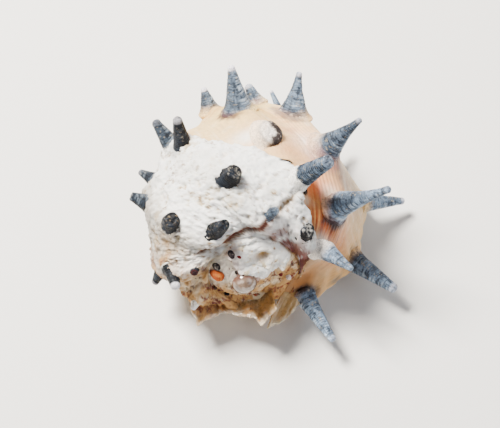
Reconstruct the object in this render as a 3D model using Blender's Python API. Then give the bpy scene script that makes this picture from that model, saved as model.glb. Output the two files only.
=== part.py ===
# Prickly drupe snail, life size, resting on its foot and facing +Y.
# Metres, +Z up. The origin is the centre of the flat sole.
import math
import random

import bmesh
import bpy
import numpy as np
from mathutils import Vector
from mathutils.bvhtree import BVHTree

MM = 0.001

# Shell: a curve drawn along the outer lip turns round the axis and shrinks with age.
APEX = (-0.5, -10.5, 8.4)
AXIS_TILT = 18.4
WHORL_GROWTH = 2.03
LIP_DROP = -6.2
CANAL_BEND = 1.43
BEND_START = 8.0
BEND_SPAN = 10.0
LIP_OUTLINE = [
    (5.6, -2.7), (8.6, -3.55), (10.5, -6.1), (11.2, -9.2),
    (10.5, -13.0), (8.3, -17.0), (5.0, -20.2), (2.0, -22.0),
]
SUTURE_PLACE = 0.21
NEW_GROWTH = 65.0
OLDEST_AGE = 371.0
HIDDEN_AGE = 306.0
SUTURE_BLEND = 6.0
END_STEP = 2.2
BODY_COLUMNS = 60
SEAT_INSET = 0.05
SEAT_DEPTH = 1.2
SEAT_BOTTOM = 3.9
CANAL_END = 14.5
SPIRE_TURNS = 3
SPIRE_COLUMNS = 40
SPIRE_STEPS = np.array([1.0, 0.93, 0.85, 0.75, 0.65, 0.56, 0.48, 0.40, 0.33, 0.26, 0.20, 0.13])
APEX_DOME = 0.55

# Walls, plates and clearances
FACE_GAP = 0.34
LIP_WALL = 1.7
LIP_COLUMNS = [0.014, 0.036, 0.06, 0.088, 0.12, 0.165, 0.21]
SEAM_GAP = 0.3
SEAM_INWARD = (1.1, 0.15)
SEAM_OUTWARD = 1.6
SEAM_STEP = 0.04
PLATE_THICKNESS = 1.1
LIP_HEIGHT = APEX[2] + LIP_DROP
FOOT_TOP = LIP_HEIGHT - FACE_GAP

# Ribs run from suture to canal, and a mound swells under each spine.
RIB_AGES = (0, 50, 83, 121, 167, 208, 250, 292, 334, 376, 418)
RIB_HEIGHT = 0.55
RIB_WIDTH = 9.0
MOUND_SPREAD = 1.15
MOUND_SHARE = 0.19
SPINE_SIDES = 6
LIP_SINK = 0.6
BACK_SINK = 1.3
SPIRE_SINK = 0.8

# Each spine: age in degrees before the lip, place along the lip outline (0 suture, 1 canal),
# length, radius at the root, radius at the end, lean with growth, lean towards the canal.
LIP_SPINES = {
    "rim_1": (3.5, 0.062, 5.2, 0.92, 0.36, 0.10, 0.30),
    "rim_2": (4, 0.208, 4.9, 1.00, 0.44, -0.17, -0.24),
    "rim_3": (8, 0.378, 4.4, 0.90, 0.34, 0.40, 0.18),
    "rim_4": (4, 0.600, 2.0, 0.70, 0.26, 0.00, 0.10),
    "rim_5": (4, 0.765, 3.6, 0.60, 0.20, -0.14, 1.20),
    "fold_1": (51, 0.079, 4.2, 1.00, 0.32, -0.05, 0.42),
    "fold_2": (53, 0.195, 6.2, 1.15, 0.36, 0.00, 0.29),
    "fold_3": (53, 0.391, 4.9, 1.20, 0.34, -0.08, -0.11),
    "fold_4": (50, 0.608, 4.0, 1.25, 0.34, -0.33, -0.02),
    "fold_5": (52, 0.758, 1.8, 0.80, 0.38, -0.40, 0.40),
}
BACK_SPINES = {
    "ridge_1": (80, 0.074, 1.1, 0.85, 0.60, 0.20, 0.95),
    "ridge_2": (81, 0.227, 4.9, 1.05, 0.56, 0.27, 0.19),
    "ridge_3": (85, 0.411, 0.9, 1.35, 1.10, 0.30, -0.40),
    "ridge_4": (83, 0.645, 4.2, 1.25, 0.36, -0.09, -0.10),
    "ridge_5": (84, 0.866, 2.2, 0.85, 0.30, 0.12, -0.30),
    "crown_1": (110, 0.094, 1.5, 0.58, 0.36, 1.20, 1.20),
    "crown_2": (117, 0.251, 1.8, 0.95, 0.68, 0.50, 0.00),
    "crown_3": (128, 0.525, 3.5, 0.95, 0.42, 0.55, -0.22),
    "crown_4": (134, 0.583, 3.4, 1.05, 0.42, 0.27, 0.12),
    "side_1": (158, 0.087, 2.6, 0.78, 0.48, 1.60, 0.60),
    "side_2": (164, 0.221, 1.5, 0.88, 0.64, 0.75, -0.20),
    "side_3": (168, 0.430, 2.0, 0.85, 0.40, 0.20, 0.10),
    "side_4": (165, 0.620, 1.9, 0.75, 0.30, 0.10, 0.30),
    "low_1": (209, 0.062, 0.9, 0.55, 0.36, 0.06, -0.23),
    "low_2": (205, 0.166, 2.0, 0.75, 0.46, -0.95, -1.50),
    "low_3": (213, 0.310, 1.6, 0.72, 0.36, -0.75, -0.10),
    "under_1": (249, 0.120, 1.0, 0.52, 0.28, 0.00, 0.00),
}
# Thin frills: age and place of the root or, for the flange, the place alone; then the reach.
BODY_COLLAR = [(299, 0.085, 1.25), (289, 0.095, 0.65), (277, 0.11, 1.0), (268, 0.125, 1.6),
               (260, 0.14, 2.3), (252, 0.17, 1.4), (243, 0.21, 0.5)]
SPIRE_COLLAR = [(327, 0.055, 1.3), (320, 0.06, 2.3), (313, 0.065, 1.7)]
COLLAR_SINK = 1.0
SPIRE_COLLAR_SINK = 0.6
FLANGE_REACH = (2.75, 2.2, 1.45, 0.85, 0.3)
FLANGE_SINK = (0.0, 0.2, 0.4, 0.45, 0.45)
FLANGE_LIFT = 0.06
FRILL_ROOT = 0.85
FRILL_TIP = 0.55

SPIRE_RIB_STEP = 42.0
SPIRE_SPINE_START = 292.0
SPIRE_SPINES = 8
SPIRE_SPINE_LENGTH = 1.25
SPIRE_SPINE_RADIUS = 0.48

# Soft body, under and inside the shell
SOFT_GAP = 0.15
FOOT_CENTRE = (-0.3, -0.9)
FOOT_HALF = (5.8, 8.4)
FOOT_SIDES = 32
FOOT_FRONT = 6.2
STALK_CENTRE = (2.5, 2.6)
STALK_HALF = (1.8, 2.3)
STALK_TOP = 4.4
TAIL_STEP = -4.4
TAIL_TOP = 0.95
OPERCULUM_CENTRE = (0.4, -6.6)
OPERCULUM_HALF = (2.2, 1.6)
HEAD_CENTRE = (0.6, 1.02)
HEAD_HALF = (1.6, 0.72)
HEAD_REACH = 2.3
TENTACLE_LENGTH = 2.6
TENTACLE_RADIUS = 0.42
TENTACLE_TIP = 0.26
TENTACLE_SPREAD = 25.0
EYE_RADIUS = 0.3
SIPHON_CENTRE = (-2.7, 1.25)
SIPHON_RADIUS = 0.5
SIPHON_LENGTH = 2.0

for old in list(bpy.data.objects):
    bpy.data.objects.remove(old, do_unlink=True)

random.seed(7)

TILT = math.radians(AXIS_TILT)
TO_APEX = np.array([0.0, -math.cos(TILT), math.sin(TILT)])
TO_BACK = np.array([0.0, math.sin(TILT), math.cos(TILT)])
TO_RIGHT = np.array([1.0, 0.0, 0.0])


def material(name, colour, roughness):
    """A plain Principled material in the part's colour."""
    made = bpy.data.materials.new(name)
    made.use_nodes = True
    shader = made.node_tree.nodes["Principled BSDF"]
    shader.inputs["Base Color"].default_value = (*colour, 1.0)
    shader.inputs["Roughness"].default_value = roughness
    return made


def smooth_curve(points):
    """A Catmull-Rom curve through the points, by share of its length."""
    knots = np.array(points)
    steps = np.hypot(*np.diff(knots, axis=0).T)
    places = np.concatenate([[0.0], np.cumsum(steps)])
    places = places / places[-1]
    slopes = np.gradient(knots, places, axis=0)

    def at(share):
        share = np.asarray(share, float)
        i = np.clip(np.searchsorted(places, share, side="right") - 1, 0, len(places) - 2)
        span = places[i + 1] - places[i]
        t = ((share - places[i]) / span)[..., None]
        span = span[..., None]
        start = (2 * t**3 - 3 * t**2 + 1) * knots[i] + (t**3 - 2 * t**2 + t) * span * slopes[i]
        end = (3 * t**2 - 2 * t**3) * knots[i + 1] + (t**3 - t**2) * span * slopes[i + 1]
        return start + end

    return at


LIP_AT = smooth_curve(LIP_OUTLINE)


def lip_turn(place):
    """The angle round the axis, from the back, where the lip outline meets the lip plane."""
    radius, along = np.moveaxis(LIP_AT(place), -1, 0)
    level = (LIP_DROP - along * math.sin(TILT)) / (radius * math.cos(TILT))
    return np.degrees(np.arccos(np.clip(level, -0.995, 0.98)))


def to_world(turn, radius, along):
    """From angle, radius and distance down the axis to a point, bent to the left at the canal."""
    angle = np.radians(turn)[..., None]
    radius = np.asarray(radius)[..., None]
    point = radius * (np.sin(angle) * TO_RIGHT + np.cos(angle) * TO_BACK)
    point = point + np.asarray(along)[..., None] * TO_APEX + np.array(APEX)
    bend = np.clip((-np.asarray(along) - BEND_START) / BEND_SPAN, 0.0, None) ** 2
    return point - CANAL_BEND * bend[..., None] * TO_RIGHT


def rib_lift(age, place):
    """How far ribs and mounds raise the surface, in lip-size millimetres."""
    lift = np.zeros(np.broadcast(age, place).shape)
    fade = np.clip(place / 0.06, 0.0, 1.0) * np.clip((1.0 - place) / 0.12, 0.0, 1.0)
    for rib in RIB_AGES:
        lift = lift + RIB_HEIGHT * np.exp(-(((age - rib) / RIB_WIDTH) ** 2)) * fade
    return lift


def surface(age, place, inset=0.0, ribbed=1.0):
    """The outer surface of the shell at an age in degrees and a place along the lip outline."""
    age, place = np.broadcast_arrays(np.asarray(age, float), np.asarray(place, float))
    size = WHORL_GROWTH ** (-age / 360.0)
    near = LIP_AT(np.clip(place + 0.004, 0.0, 1.0)) - LIP_AT(np.clip(place - 0.004, 0.0, 1.0))
    near = near / np.hypot(near[..., 0], near[..., 1])[..., None]
    outward = np.stack([-near[..., 1], near[..., 0]], axis=-1)
    profile = LIP_AT(place) + outward * (ribbed * rib_lift(age, place) - inset / size)[..., None]
    return to_world(lip_turn(place) - age, size * profile[..., 0], size * profile[..., 1])


def surface_frame(age, place):
    """A point of the surface with the plain whorl's normal, growth and canal directions."""
    step = 0.01
    here = surface(age, place)
    growth = surface(age - 1.0, place, ribbed=0.0) - surface(age + 1.0, place, ribbed=0.0)
    canal = surface(age, place + step, ribbed=0.0) - surface(age, place - step, ribbed=0.0)
    growth = growth / np.linalg.norm(growth)
    canal = canal / np.linalg.norm(canal)
    normal = np.cross(growth, canal)
    normal = normal / np.linalg.norm(normal)
    return here, normal, growth, canal


def raise_mounds(points, sites):
    """Swell the surface round each spine's root."""
    moved = points.copy()
    for centre, normal, height, spread in sites:
        near = np.linalg.norm(points - centre, axis=-1)
        moved = moved + (height * np.exp(-((near / spread) ** 2)))[..., None] * normal
    return moved


def new_object(name, verts, faces, look):
    """A mesh object from points in millimetres, with its faces turned outwards."""
    mesh = bpy.data.meshes.new(name)
    mesh.from_pydata([tuple(v * MM) for v in verts], [], faces)
    shape = bmesh.new()
    shape.from_mesh(mesh)
    bmesh.ops.recalc_face_normals(shape, faces=shape.faces)
    shape.to_mesh(mesh)
    shape.free()
    made = bpy.data.objects.new(name, mesh)
    bpy.context.scene.collection.objects.link(made)
    mesh.materials.append(look)
    return made


def grid_faces(rows, columns, start=0):
    """Quads of a grid whose points are numbered row by row."""
    faces = []
    for i in range(rows - 1):
        for j in range(columns - 1):
            a = start + i * columns + j
            faces.append((a, a + 1, a + columns + 1, a + columns))
    return faces


def coil_solid(name, columns, inner_tip, outer_tip, look):
    """Close a grid that turns once round the axis, with a step wall where it meets itself."""
    rows, across = columns.shape[:2]
    verts = list(columns.reshape(-1, 3)) + [inner_tip, outer_tip]
    faces = grid_faces(rows, across)
    last = (rows - 1) * across
    for j in range(across - 1):
        faces.append((last + j, last + j + 1, j + 1, j))
    loops = (([i * across for i in range(rows)], len(verts) - 2),
             ([i * across + across - 1 for i in range(rows)], len(verts) - 1))
    for loop, tip in loops:
        for a, b in zip(loop, loop[1:] + loop[:1]):
            faces.append((a, b, tip))
    return new_object(name, verts, faces, look)


def wall_solid(name, outer, inner, look):
    """Close two like grids into a thick wall."""
    rows, across = outer.shape[:2]
    count = rows * across
    verts = list(outer.reshape(-1, 3)) + list(inner.reshape(-1, 3))
    faces = grid_faces(rows, across) + grid_faces(rows, across, count)
    rim = [j for j in range(across)]
    rim += [i * across + across - 1 for i in range(1, rows)]
    rim += [(rows - 1) * across + j for j in range(across - 2, -1, -1)]
    rim += [i * across for i in range(rows - 2, 0, -1)]
    for a, b in zip(rim, rim[1:] + rim[:1]):
        faces.append((a, b, b + count, a + count))
    return new_object(name, verts, faces, look)


def tapered_tube(name, path, radii, sides, look):
    """A closed tube along a path, pointed or blunt at its end."""
    path = [Vector(p) for p in path]
    verts = []
    faces = []
    across = None
    for i, centre in enumerate(path):
        ahead = (path[min(i + 1, len(path) - 1)] - path[max(i - 1, 0)]).normalized()
        if across is None:
            across = ahead.orthogonal().normalized()
        across = (across - ahead * across.dot(ahead)).normalized()
        other = ahead.cross(across)
        for k in range(sides):
            turn = 2.0 * math.pi * k / sides
            edge = centre + radii[i] * (math.cos(turn) * across + math.sin(turn) * other)
            verts.append(np.array(edge))
    for i in range(len(path) - 1):
        for k in range(sides):
            a = i * sides + k
            b = i * sides + (k + 1) % sides
            faces.append((a, b, b + sides, a + sides))
    verts.append(np.array(path[0]))
    verts.append(np.array(path[-1]))
    last = (len(path) - 1) * sides
    for k in range(sides):
        following = (k + 1) % sides
        faces.append((following, k, len(verts) - 2))
        faces.append((last + k, last + following, len(verts) - 1))
    return new_object(name, verts, faces, look)


def cut_plane(target, point, normal):
    """Keep what lies behind a plane and close the cut."""
    shape = bmesh.new()
    shape.from_mesh(target.data)
    geometry = list(shape.verts) + list(shape.edges) + list(shape.faces)
    cut = bmesh.ops.bisect_plane(shape, geom=geometry, plane_co=Vector(point) * MM,
                                 plane_no=Vector(normal), clear_outer=True, dist=1e-7)
    edges = [e for e in cut["geom_cut"] if isinstance(e, bmesh.types.BMEdge)]
    bmesh.ops.holes_fill(shape, edges=edges)
    bmesh.ops.triangulate(shape, faces=[f for f in shape.faces if len(f.verts) > 4])
    shape.to_mesh(target.data)
    shape.free()


def apply_modifier(target, modifier):
    """Turn the object's evaluated mesh into its own mesh."""
    layer = bpy.context.view_layer
    layer.update()
    seen = target.evaluated_get(bpy.context.evaluated_depsgraph_get())
    mesh = bpy.data.meshes.new_from_object(seen)
    target.modifiers.remove(modifier)
    target.data = mesh


def fuse(target, pieces):
    """Join closed pieces to an object in one union."""
    group = bpy.data.collections.new(target.name + "_pieces")
    for piece in pieces:
        group.objects.link(piece)
    union = target.modifiers.new("union", "BOOLEAN")
    union.operation = "UNION"
    union.solver = "EXACT"
    union.operand_type = "COLLECTION"
    union.collection = group
    apply_modifier(target, union)
    for piece in pieces:
        bpy.data.objects.remove(piece, do_unlink=True)
    bpy.data.collections.remove(group)
    keep_largest(target)


def combine(target, other, operation):
    """Cut an object by another, or keep what they share."""
    step = target.modifiers.new("cut", "BOOLEAN")
    step.operation = operation
    step.solver = "EXACT"
    step.object = other
    apply_modifier(target, step)


def keep_largest(target):
    """Keep the largest closed surface of an object."""
    shape = bmesh.new()
    shape.from_mesh(target.data)
    bmesh.ops.remove_doubles(shape, verts=shape.verts, dist=2e-6)
    bmesh.ops.dissolve_degenerate(shape, edges=shape.edges, dist=2e-6)
    bmesh.ops.holes_fill(shape, edges=[e for e in shape.edges if e.is_boundary])
    unseen = set(shape.faces)
    groups = []
    while unseen:
        stack = [unseen.pop()]
        group = []
        while stack:
            face = stack.pop()
            group.append(face)
            for edge in face.edges:
                for other in edge.link_faces:
                    if other in unseen:
                        unseen.remove(other)
                        stack.append(other)
        groups.append(group)
    groups.sort(key=len, reverse=True)
    for group in groups[1:]:
        bmesh.ops.delete(shape, geom=group, context="FACES")
    loose = [v for v in shape.verts if not v.link_faces]
    bmesh.ops.delete(shape, geom=loose, context="VERTS")
    bmesh.ops.triangulate(shape, faces=shape.faces)
    shape.to_mesh(target.data)
    shape.free()


def spine_site(values):
    """The root, mound and direction of a spine from its row of sizes."""
    age, place, length, root, end, lean, rake = values
    here, normal, growth, canal = surface_frame(age, place)
    way = normal + lean * growth + rake * canal
    return here, normal, way / np.linalg.norm(way), length, root, end


def mound_sites(table):
    """Where and how far the surface swells under each spine."""
    sites = []
    for values in table.values():
        here, normal, way, length, root, end = spine_site(values)
        sites.append((here, normal, MOUND_SHARE * (1.2 + 0.5 * length), MOUND_SPREAD * (0.6 + root)))
    return sites


def spine_object(name, values, sink, look):
    """A curved spine that tapers from its sunk root to a blunt end."""
    here, normal, way, length, root, end = spine_site(values)
    curl = 0.10 * length * (way - normal * float(np.dot(way, normal)))
    shares = (-sink / length, 0.28, 0.66, 1.0)
    widths = (1.12, 0.86, 0.55, 0.0)
    path = []
    radii = []
    for share, width in zip(shares, widths):
        path.append(here + way * length * share + curl * (share * share - share))
        radii.append(end + (root - end) * width)
    path.append(path[-1] + way * end * 0.55)
    radii.append(end * 0.5)
    return tapered_tube(name, path, radii, SPINE_SIDES, look)


def frill_solid(name, root, edge, up, look):
    """A thin plate between two curves; up is its thickness direction, point by point."""
    share = np.linspace(0.0, 1.0, 4)[None, :, None]
    middle = root[:, None] + (edge - root)[:, None] * share
    half = 0.5 * (FRILL_ROOT + (FRILL_TIP - FRILL_ROOT) * share) * up[:, None]
    return wall_solid(name, middle + half, middle - half, look)


def build_collar(rows, sink, look):
    """A frilled collar that stands out from the shoulder behind the spire."""
    root = []
    edge = []
    up = []
    for age, place, reach in rows:
        here, normal, growth, canal = surface_frame(age, place)
        root.append(here - sink * normal)
        edge.append(here + reach * normal)
        up.append(-canal)
    return frill_solid("collar", np.array(root), np.array(edge), np.array(up), look)


def surface_tree(node):
    """A search tree of a node's surface, in metres."""
    shape = bmesh.new()
    shape.from_mesh(node.data)
    tree = BVHTree.FromBMesh(shape)
    shape.free()
    return tree


def suture_place(age):
    """Where along the lip outline the whorl comes out from under the next one."""
    blend = np.clip((HIDDEN_AGE + SUTURE_BLEND - age) / (2.0 * SUTURE_BLEND), 0.0, 1.0)
    return SUTURE_PLACE * (1.0 - blend)


def even_ages(count):
    """Ages from the oldest column to the new growth, spread evenly round the axis."""
    ages = np.linspace(OLDEST_AGE, NEW_GROWTH, 2000)
    turns = lip_turn(suture_place(ages)) - ages
    wanted = np.linspace(turns[0], turns[-1], count)
    return np.interp(wanted, turns, ages)


def suture_ring(ages, inset, drop):
    """The ring where spire and body whorl meet, moved inwards and down the axis."""
    place = suture_place(ages)
    size = WHORL_GROWTH ** (-ages / 360.0)
    profile = LIP_AT(place) * size[:, None]
    return lip_turn(place) - ages, profile[:, 0] - inset, profile[:, 1] - drop


def build_body_whorl(look, seams):
    """The older whorl: one turn of surface, closed on the axis and cut flat underneath."""
    ages = even_ages(BODY_COLUMNS)
    places = np.concatenate([np.linspace(0.0, 0.9, 20), [0.94, 0.98, 1.0]])
    start = suture_place(ages)[:, None]
    place = start + (1.0 - start) * places[None, :]
    points = surface(ages[:, None], place)
    points = raise_mounds(points, mound_sites(BACK_SPINES))
    # the end wall under the new growth steps in before it slants to the older whorl
    step = END_STEP * np.interp(places, [0.0, 0.1, 0.7, 1.0], [0.0, 1.0, 0.8, 0.25])
    end = surface(np.full(len(places), NEW_GROWTH), places, inset=step)
    points = np.concatenate([points, end[None]], axis=0)
    seat = to_world(*suture_ring(np.append(ages, NEW_GROWTH), SEAT_INSET, SEAT_DEPTH))
    points = np.concatenate([seat[:, None], points], axis=1)
    points[-2:, :2] = points[0, :2]
    spire_tip = to_world(np.array(0.0), 0.0, -SEAT_BOTTOM)
    canal_tip = to_world(np.array(0.0), 0.0, -CANAL_END)
    body = coil_solid("shell_body_whorl", points, spire_tip, canal_tip, look)
    keep_largest(body)
    plate = body.copy()
    plate.data = body.data.copy()
    plate.name = "columella"
    bpy.context.scene.collection.objects.link(plate)
    floor = LIP_HEIGHT + PLATE_THICKNESS
    cut_plane(body, (0, 0, floor + FACE_GAP), (0, 0, -1))
    cut_plane(plate, (0, 0, floor), (0, 0, 1))
    cut_plane(plate, (0, 0, LIP_HEIGHT), (0, 0, -1))
    keep_largest(body)
    keep_largest(plate)
    pieces = [spine_object(n, v, BACK_SINK, look) for n, v in BACK_SPINES.items()]
    seams.append(surface_tree(body))
    seams.append(surface_tree(plate))
    fuse(body, pieces + [build_collar(BODY_COLLAR, COLLAR_SINK, look)])
    return body, plate


def spire_profile(turn, edge):
    """Radius and height of the stepped spire in the half-plane at one angle, edge first."""
    radii = []
    heights = []
    for whorl in range(SPIRE_TURNS + 1):
        place = np.linspace(SUTURE_PLACE, 0.0, 9)
        age = lip_turn(place) - turn + 360.0 * whorl
        size = WHORL_GROWTH ** (-age / 360.0)
        profile = LIP_AT(place) * size[:, None]
        radii.extend(profile[:, 0])
        heights.extend(profile[:, 1] + size * rib_lift(age, place))
    order = np.argsort(radii)
    wanted = edge * SPIRE_STEPS
    return wanted, np.interp(wanted, np.array(radii)[order], np.array(heights)[order])


def build_spire(look, seams):
    """The low stepped spire, seated in the body whorl and ending in a small dome."""
    ages = even_ages(SPIRE_COLUMNS + 1)[:-1]
    turn, radius, _ = suture_ring(ages, FACE_GAP, 0.0)
    rings = []
    for t, r in zip(turn, radius):
        wanted, level = spire_profile(t, r)
        rings.append(to_world(np.full(len(wanted), t), wanted, level))
    top = np.array(rings)
    _, _, low = suture_ring(ages, FACE_GAP, SEAT_DEPTH - FACE_GAP)
    under = to_world(turn, radius - 0.05, low)
    points = np.concatenate([under[:, None], top], axis=1)
    points = np.concatenate([points, points[:1]], axis=0)
    base = to_world(np.array(0.0), 0.0, FACE_GAP - SEAT_BOTTOM)
    crown = to_world(np.array(0.0), 0.0, APEX_DOME - 0.25)
    spire = coil_solid("shell_spire", points, base, crown, look)
    keep_largest(spire)
    spines = []
    for i in range(SPIRE_SPINES):
        age = SPIRE_SPINE_START + SPIRE_RIB_STEP * i
        size = WHORL_GROWTH ** (-age / 360.0) / WHORL_GROWTH ** (-SPIRE_SPINE_START / 360.0)
        length = SPIRE_SPINE_LENGTH * size * random.uniform(0.8, 1.15)
        root = SPIRE_SPINE_RADIUS * size
        values = (age + 60.0, 0.10, length, root, 0.5 * root, random.uniform(-0.2, 0.3), 0.25)
        spines.append(spine_object("spire_spine", values, SPIRE_SINK, look))
    seams.append(surface_tree(spire))
    fuse(spire, spines + [build_collar(SPIRE_COLLAR, SPIRE_COLLAR_SINK, look)])
    return spire


def build_flange(wall, look):
    """The frilled flange at the end of the lip nearest the spire, just above the lip's edge."""
    lift = np.array([0.0, 0.0, 1.0])
    level = LIP_HEIGHT + 0.5 * FRILL_ROOT + FLANGE_LIFT
    count = len(FLANGE_REACH)
    ahead = wall[1:count + 1] - wall[:count]
    away = np.cross(ahead, lift)
    away = away / np.linalg.norm(away, axis=-1)[:, None]
    base = wall[:count].copy()
    base[:, 2] = level
    root = base - np.array(FLANGE_SINK)[:, None] * away
    edge = base + np.array(FLANGE_REACH)[:, None] * away - 0.5 * (FRILL_ROOT - FRILL_TIP) * lift
    return frill_solid("flange", root, edge, np.tile(lift, (count, 1)), look)


def fit_seam(points, seams, inward):
    """Slide points in towards the axis by up to the given reach, but never nearer than the gap."""
    out = points - np.array(APEX)
    out = out - (out @ TO_APEX)[..., None] * TO_APEX
    out = out / np.linalg.norm(out, axis=-1)[..., None]
    moves = np.full(points.shape[:2], SEAM_OUTWARD)
    for i in range(1, points.shape[0]):
        for j in range(points.shape[1]):
            for move in np.arange(SEAM_OUTWARD, -inward[j], -SEAM_STEP):
                spot = Vector(points[i, j] + move * out[i, j]) * MM
                if any(tree.find_nearest(spot, SEAM_GAP * MM)[0] for tree in seams):
                    break
                moves[i, j] = move
    moves[0] = moves[1]
    # the largest move of five rows, evened over three, keeps every row clear
    wide = np.pad(moves, ((3, 3), (0, 0)), mode="edge")
    wide = np.max([wide[k:k + len(moves) + 2] for k in range(5)], axis=0)
    even = np.mean([wide[k:k + len(moves)] for k in range(3)], axis=0)
    return points + even[..., None] * out


def build_lip_whorl(look, seams):
    """The newest growth: a thick curved wall that ends in the outer lip."""
    ages = np.linspace(NEW_GROWTH, 0.0, 14)
    places = np.array(LIP_COLUMNS + list(np.linspace(LIP_COLUMNS[-1], 1.0, 18)[1:]))
    outer = surface(ages[:, None], places[None, :])
    outer = raise_mounds(outer, mound_sites(LIP_SPINES))
    wall = LIP_WALL * np.interp(places, [LIP_COLUMNS[0], 0.3, 0.6, 0.85, 1.0], [0.5, 1.0, 0.9, 0.45, 0.4])
    inner = surface(ages[:, None], places[None, :], inset=wall[None, :])
    room = FACE_GAP * np.linspace(1.0, 0.0, len(ages)) ** 2
    ahead = surface(ages[:, None] - 1.0, places[None, :]) - surface(ages[:, None] + 1.0, places[None, :])
    ahead = ahead / np.linalg.norm(ahead, axis=-1)[..., None]
    outer = outer + room[:, None, None] * ahead
    inner = inner + room[:, None, None] * ahead
    near = len(LIP_COLUMNS)
    inward = list(SEAM_INWARD) + [0.0] * (near - len(SEAM_INWARD))
    outer[:, :near] = fit_seam(outer[:, :near], seams, inward)
    inner[:, 1:near] = fit_seam(inner[:, 1:near], seams, [0.0] * near)
    inner[:, :1] = fit_seam(0.5 * (outer[:, :1] + inner[:, 1:2]), seams, [0.0])
    lip = wall_solid("shell_outer_lip", outer, inner, look)
    cut_plane(lip, (0, 0, LIP_HEIGHT), (0, 0, -1))
    keep_largest(lip)
    pieces = [spine_object(n, v, LIP_SINK, look) for n, v in LIP_SPINES.items()]
    fuse(lip, pieces + [build_flange(outer[-2], look)])
    return lip


def stack_solid(name, rings, look):
    """A closed solid from a stack of ellipses: centre x and y, height, half width, half length."""
    verts = []
    faces = []
    for x, y, z, half_x, half_y in rings:
        for k in range(FOOT_SIDES):
            turn = 2.0 * math.pi * k / FOOT_SIDES
            verts.append(np.array([x + half_x * math.cos(turn), y + half_y * math.sin(turn), z]))
    for i in range(len(rings) - 1):
        for k in range(FOOT_SIDES):
            a = i * FOOT_SIDES + k
            b = i * FOOT_SIDES + (k + 1) % FOOT_SIDES
            faces.append((a, b, b + FOOT_SIDES, a + FOOT_SIDES))
    faces.append(tuple(range(FOOT_SIDES)))
    faces.append(tuple(range((len(rings) - 1) * FOOT_SIDES, len(rings) * FOOT_SIDES)))
    return new_object(name, verts, faces, look)


def build_foot(look):
    """The flat foot, with a step for the operculum and a stalk that rises into the aperture."""
    x, y = FOOT_CENTRE
    half_x, half_y = FOOT_HALF
    sx, sy = STALK_CENTRE
    stalk_x, stalk_y = STALK_HALF
    foot = stack_solid("foot", [
        (x, y, 0.0, 0.95 * half_x, 0.96 * half_y),
        (x, y, 0.3, half_x, half_y),
        (x, y, 0.55 * FOOT_TOP, 0.985 * half_x, 0.99 * half_y),
        (x, y, FOOT_TOP, 0.9 * half_x, 0.93 * half_y),
        (sx, sy, FOOT_TOP, stalk_x, stalk_y),
        (sx, sy, 0.5 * (FOOT_TOP + STALK_TOP), 0.85 * stalk_x, 0.8 * stalk_y),
        (sx, sy, STALK_TOP, 0.4 * stalk_x, 0.4 * stalk_y),
    ], look)
    step = stack_solid("step", [
        (x, TAIL_STEP - 10.0, TAIL_TOP, 12.0, 10.0),
        (x, TAIL_STEP - 10.0, FOOT_TOP + 0.2, 12.0, 10.0),
    ], look)
    combine(foot, step, "DIFFERENCE")
    bpy.data.objects.remove(step, do_unlink=True)
    cut_plane(foot, (0, FOOT_FRONT, 0), (0, 1, 0))
    keep_largest(foot)
    return foot


def build_operculum(look):
    """The thin horny plate on the back of the foot."""
    x, y = OPERCULUM_CENTRE
    half_x, half_y = OPERCULUM_HALF
    low = TAIL_TOP + SOFT_GAP
    plate = stack_solid("operculum", [
        (x, y, low, half_x, half_y),
        (x, y, low + 0.4, half_x, half_y),
        (x, y, low + 0.58, 0.75 * half_x, 0.75 * half_y),
    ], look)
    keep_largest(plate)
    return plate


def build_head(look):
    """A low rounded head that grows from the front face of the foot."""
    x, z = HEAD_CENTRE
    wide, high = HEAD_HALF
    start = FOOT_FRONT + SOFT_GAP
    sides = 18
    shares = ((0.0, 0.92), (0.25, 1.0), (0.55, 0.97), (0.8, 0.82), (0.95, 0.55))
    verts = []
    faces = []
    for reach, grow in shares:
        for k in range(sides):
            turn = 2.0 * math.pi * k / sides
            verts.append(np.array([
                x + wide * grow * math.cos(turn), start + HEAD_REACH * reach,
                z + high * (0.4 + 0.6 * grow) * math.sin(turn),
            ]))
    for i in range(len(shares) - 1):
        for k in range(sides):
            a = i * sides + k
            b = i * sides + (k + 1) % sides
            faces.append((a, b, b + sides, a + sides))
    faces.append(tuple(range(sides)))
    faces.append(tuple(range((len(shares) - 1) * sides, len(shares) * sides)))
    head = new_object("head", verts, faces, look)
    keep_largest(head)
    return head


def build_tentacle(side, look, eye_look):
    """A tapering tentacle and the eye on its outer side; side is -1 for left, 1 for right."""
    name = "left" if side < 0 else "right"
    x, z = HEAD_CENTRE
    turn = math.radians(TENTACLE_SPREAD)
    way = np.array([side * math.sin(turn), math.cos(turn), 0.04])
    wide = HEAD_HALF[0]
    front = FOOT_FRONT + SOFT_GAP + HEAD_REACH
    root = np.array([x + side * (0.72 * wide + 0.36), front - 0.28, z + 0.1])
    path = [root + way * TENTACLE_LENGTH * t for t in (0.0, 0.3, 0.65, 0.92, 1.0)]
    radii = [TENTACLE_RADIUS, 0.9 * TENTACLE_RADIUS, 0.78 * TENTACLE_RADIUS, TENTACLE_TIP, 0.6 * TENTACLE_TIP]
    tentacle = tapered_tube("tentacle_" + name, path, radii, 10, look)
    keep_largest(tentacle)
    outer = np.array([side * math.cos(turn), -math.sin(turn), 0.35])
    outer = outer / np.linalg.norm(outer)
    centre = root + way * 0.34 * TENTACLE_LENGTH
    centre = centre + outer * (0.86 * TENTACLE_RADIUS + 0.08 + EYE_RADIUS)
    ball = bmesh.new()
    bmesh.ops.create_icosphere(ball, subdivisions=2, radius=EYE_RADIUS * MM)
    for vert in ball.verts:
        vert.co += Vector(centre) * MM
    mesh = bpy.data.meshes.new("eye_" + name)
    ball.to_mesh(mesh)
    ball.free()
    mesh.materials.append(eye_look)
    eye = bpy.data.objects.new("eye_" + name, mesh)
    bpy.context.scene.collection.objects.link(eye)
    return tentacle, eye


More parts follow.
